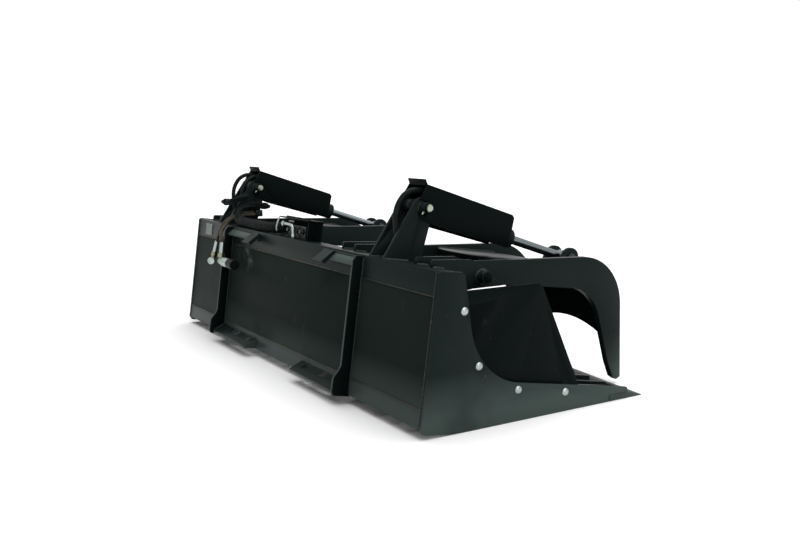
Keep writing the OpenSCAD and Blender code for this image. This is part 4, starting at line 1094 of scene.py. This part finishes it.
# Profiles, as distance along the axis and radius
NIPPLE = ((0, 0.0042), (0.0035, 0.0042), (0.0036, 0.003), (0.007, 0.0026), (0.0078, 0.0034), (0.0098, 0.0026),
          (0.0104, 0.0008))
RIVET = ((0, 0.0021), (0.0006, 0.0019), (0.001, 0.0009))
# The label plate's place, across and up the back, and the starts of the lip pads
LABEL_X = (-903.0, -827.0)
LABEL_U = (409.0, 461.0)
PADS_X = (298.0, -350.0)


class GRAPPLE_OT_fittings(bpy.types.Operator):
    """Valve elbow, strap, grease nipples, pin collars, lip pads and the bare label plate"""
    bl_idname = "grapple.fittings"
    bl_label = "Fittings"

    def execute(self, context):
        # Steel elbow out of the valve block, with a nut at each end, and the pale strap
        bm = bmesh.new()
        sweep(bm, route(ELBOW, 0.003), 0.0062, sides=16)
        for start, way in ((at(-114, 90, 549), (1, 0, 0)), (at(-27, 92, 501), (0, 0, 1))):
            nut(bm, start, way, 0.014, 0.008, 0.0105)
        piece("valve_elbow", bm, "zinc", "bucket")
        bm = bmesh.new()
        ribbon(bm, route(STRAP, 0.004), Vector((1, 0, 0)), 0.011, 0.0014)
        piece("pale_strap", bm, "pale", "bucket")
        # Grease nipples on the tower bosses, and dark collars that the pin's bright ends sit in
        low = Vector((0.0, -0.55, -0.83))
        for left, side in SIDES:
            nipples, collars = bmesh.new(), bmesh.new()
            for s in (-1, 1):
                boss = at(sided(ROD_X + s * 66, left), *TOWER_PIN)
                lathe(nipples, boss + low * 0.0165, low, NIPPLE, sides=16)
                out = Vector((-s if left else s, 0, 0))
                tube(collars, at(sided(ROD_X + s * 85, left), *TOWER_PIN), out, 0.0065, 0.0131, 0.0168)
            piece("nipples_" + side, nipples, "bright", "bucket")
            piece("pin_collars_" + side, collars, "coat_dark", "bucket")
        # Raised pads at the inner ends of the top lips, each with a stop
        bm = bmesh.new()
        lift = (on_back(0, -41, 471) - on_back(0, 0, 429)).normalized() * 0.007
        for x in PADS_X:
            top = on_back(x, -1.5, 459)
            down = on_back(x, -46, 419) - top
            slab(bm, top, Vector((0.088, 0, 0)), down, lift)
            slab(bm, top + Vector((0.078, 0, 0)) + lift, Vector((0.010, 0, 0)), down, lift * 1.1)
        piece("lip_pads", bm, "coat", "bucket", smooth=False)
        # Bare label plate on the far end of the beam, with four rivets
        bm, rivets = bmesh.new(), bmesh.new()
        (x0, x1), (u0, u1) = LABEL_X, LABEL_U
        corner = on_back(x0, -1.4, u0)
        slab(bm, corner, on_back(x1, -1.4, u0) - corner, on_back(x0, -0.2, u0) - corner,
             on_back(x0, -1.4, u1) - corner)
        way = on_back(0, -1, 0) - on_back(0, 0, 0)
        for x in (x0 + 5, x1 - 5):
            for u in (u0 + 5, u1 - 5):
                lathe(rivets, on_back(x, -1.4, u), way, RIVET, sides=16)
        piece("label_plate", bm, "label", "bucket", smooth=False)
        piece("label_rivets", rivets, "zinc_dark", "bucket")
        return {"FINISHED"}


# Stage

WHITE = (1.0, 1.0, 1.0, 1.0)
FLOOR = (0.82, 0.82, 0.82, 1.0)


class GRAPPLE_OT_stage(bpy.types.Operator):
    """Pale floor, even light and the camera at the photograph's place"""
    bl_idname = "grapple.stage"
    bl_label = "Stage"

    def execute(self, context):
        scene = context.scene
        light = scene.grapple_light
        bm = bmesh.new()
        bmesh.ops.create_grid(bm, x_segments=1, y_segments=1, size=30.0)
        MATERIALS["floor"], n, shader = base_material("Pale floor", 0.0, 0.9, gloss=0.0)
        n.link(n.mix(seen_ray(n), FLOOR, WHITE), shader.inputs["Base Color"])
        floor = piece("floor", bm, "floor", smooth=False)
        floor.location.z = -0.0005  # just under the pieces that stand on it
        world = bpy.data.worlds.new("Sky")
        world.use_nodes = True
        # A pale studio wall in front of the back and a dimmer room behind it light the object.
        # The camera and shiny surfaces see white all round.
        sky = Nodes(world.node_tree)
        way = sky.part_of(sky.add("ShaderNodeTexCoord").outputs["Generated"], "Y")
        room = sky.math("ADD", light.dim, sky.times(sky.ramp(way, -0.35, 0.05), 1.0 - light.dim))
        seen = seen_ray(sky)
        lit = sky.times(sky.times(room, light.sky), sky.math("SUBTRACT", 1.0, seen))
        back = world.node_tree.nodes["Background"]
        back.inputs["Color"].default_value = WHITE
        sky.link(sky.math("ADD", lit, seen), back.inputs["Strength"])
        scene.world = world
        lamps = (("overhead", (0.3, 0.2, 5.0), 70.0, light.key),
                 ("side", (5.0, -1.2, 3.4), 40.0, light.key * 0.25))
        for name, place, soft, power in lamps:
            data = bpy.data.lights.new(name, "SUN")
            data.energy, data.angle = power, math.radians(soft)
            o = bpy.data.objects.new(name, data)
            o.location = place
            o.rotation_mode = "QUATERNION"
            o.rotation_quaternion = (Vector((0, 0, 0.3)) - Vector(place)).to_track_quat("-Z", "Y")
            scene.collection.objects.link(o)
        data = bpy.data.cameras.new("camera")
        data.sensor_width, data.lens = 36.0, LENS
        data.clip_start, data.clip_end = 0.05, 200.0
        cam = bpy.data.objects.new("camera", data)
        turn = Matrix((CAMERA_RIGHT, CAMERA_UP, CAMERA_BACK)).transposed()
        cam.matrix_world = Matrix.Translation(at(*CAMERA_AT)) @ turn.to_4x4()
        scene.collection.objects.link(cam)
        scene.camera = cam
        scene.view_settings.view_transform = "Standard"
        return {"FINISHED"}


class GRAPPLE_PT_panel(bpy.types.Panel):
    bl_label = "Rock grapple"
    bl_idname = "GRAPPLE_PT_panel"
    bl_space_type = "VIEW_3D"
    bl_region_type = "UI"
    bl_category = "Grapple"

    def draw(self, context):
        for name, _ in GROUPS:
            values = getattr(context.scene, name)
            box = self.layout.box()
            for key in values.__annotations__:
                box.prop(values, key)
        for op in STEPS:
            self.layout.operator(op.bl_idname)


STEPS = (GRAPPLE_OT_finishes, GRAPPLE_OT_stage, GRAPPLE_OT_hoses, GRAPPLE_OT_edges, GRAPPLE_OT_welds,
         GRAPPLE_OT_fittings)
GROUPS = (("grapple_coat", GrappleCoat), ("grapple_welds", GrappleWelds),
          ("grapple_hoses", GrappleHoses), ("grapple_light", GrappleLight))


def register():
    for name, kind in GROUPS:
        bpy.utils.register_class(kind)
        setattr(bpy.types.Scene, name, PointerProperty(type=kind))
    for op in STEPS:
        bpy.utils.register_class(op)
    bpy.utils.register_class(GRAPPLE_PT_panel)


def unregister():
    bpy.utils.unregister_class(GRAPPLE_PT_panel)
    for op in reversed(STEPS):
        bpy.utils.unregister_class(op)
    for name, kind in reversed(GROUPS):
        delattr(bpy.types.Scene, name)
        bpy.utils.unregister_class(kind)


def main():
    register()
    for o in list(bpy.context.scene.objects):
        if o.name in ("Cube", "Light", "Camera"):
            bpy.data.objects.remove(o)
    bpy.ops.grapple.finishes()
    bpy.ops.grapple.stage()
    bpy.ops.grapple.hoses()
    bpy.ops.grapple.edges()
    bpy.ops.grapple.welds()
    bpy.ops.grapple.fittings()
    bpy.context.view_layer.update()


if __name__ == "__main__":
    main()
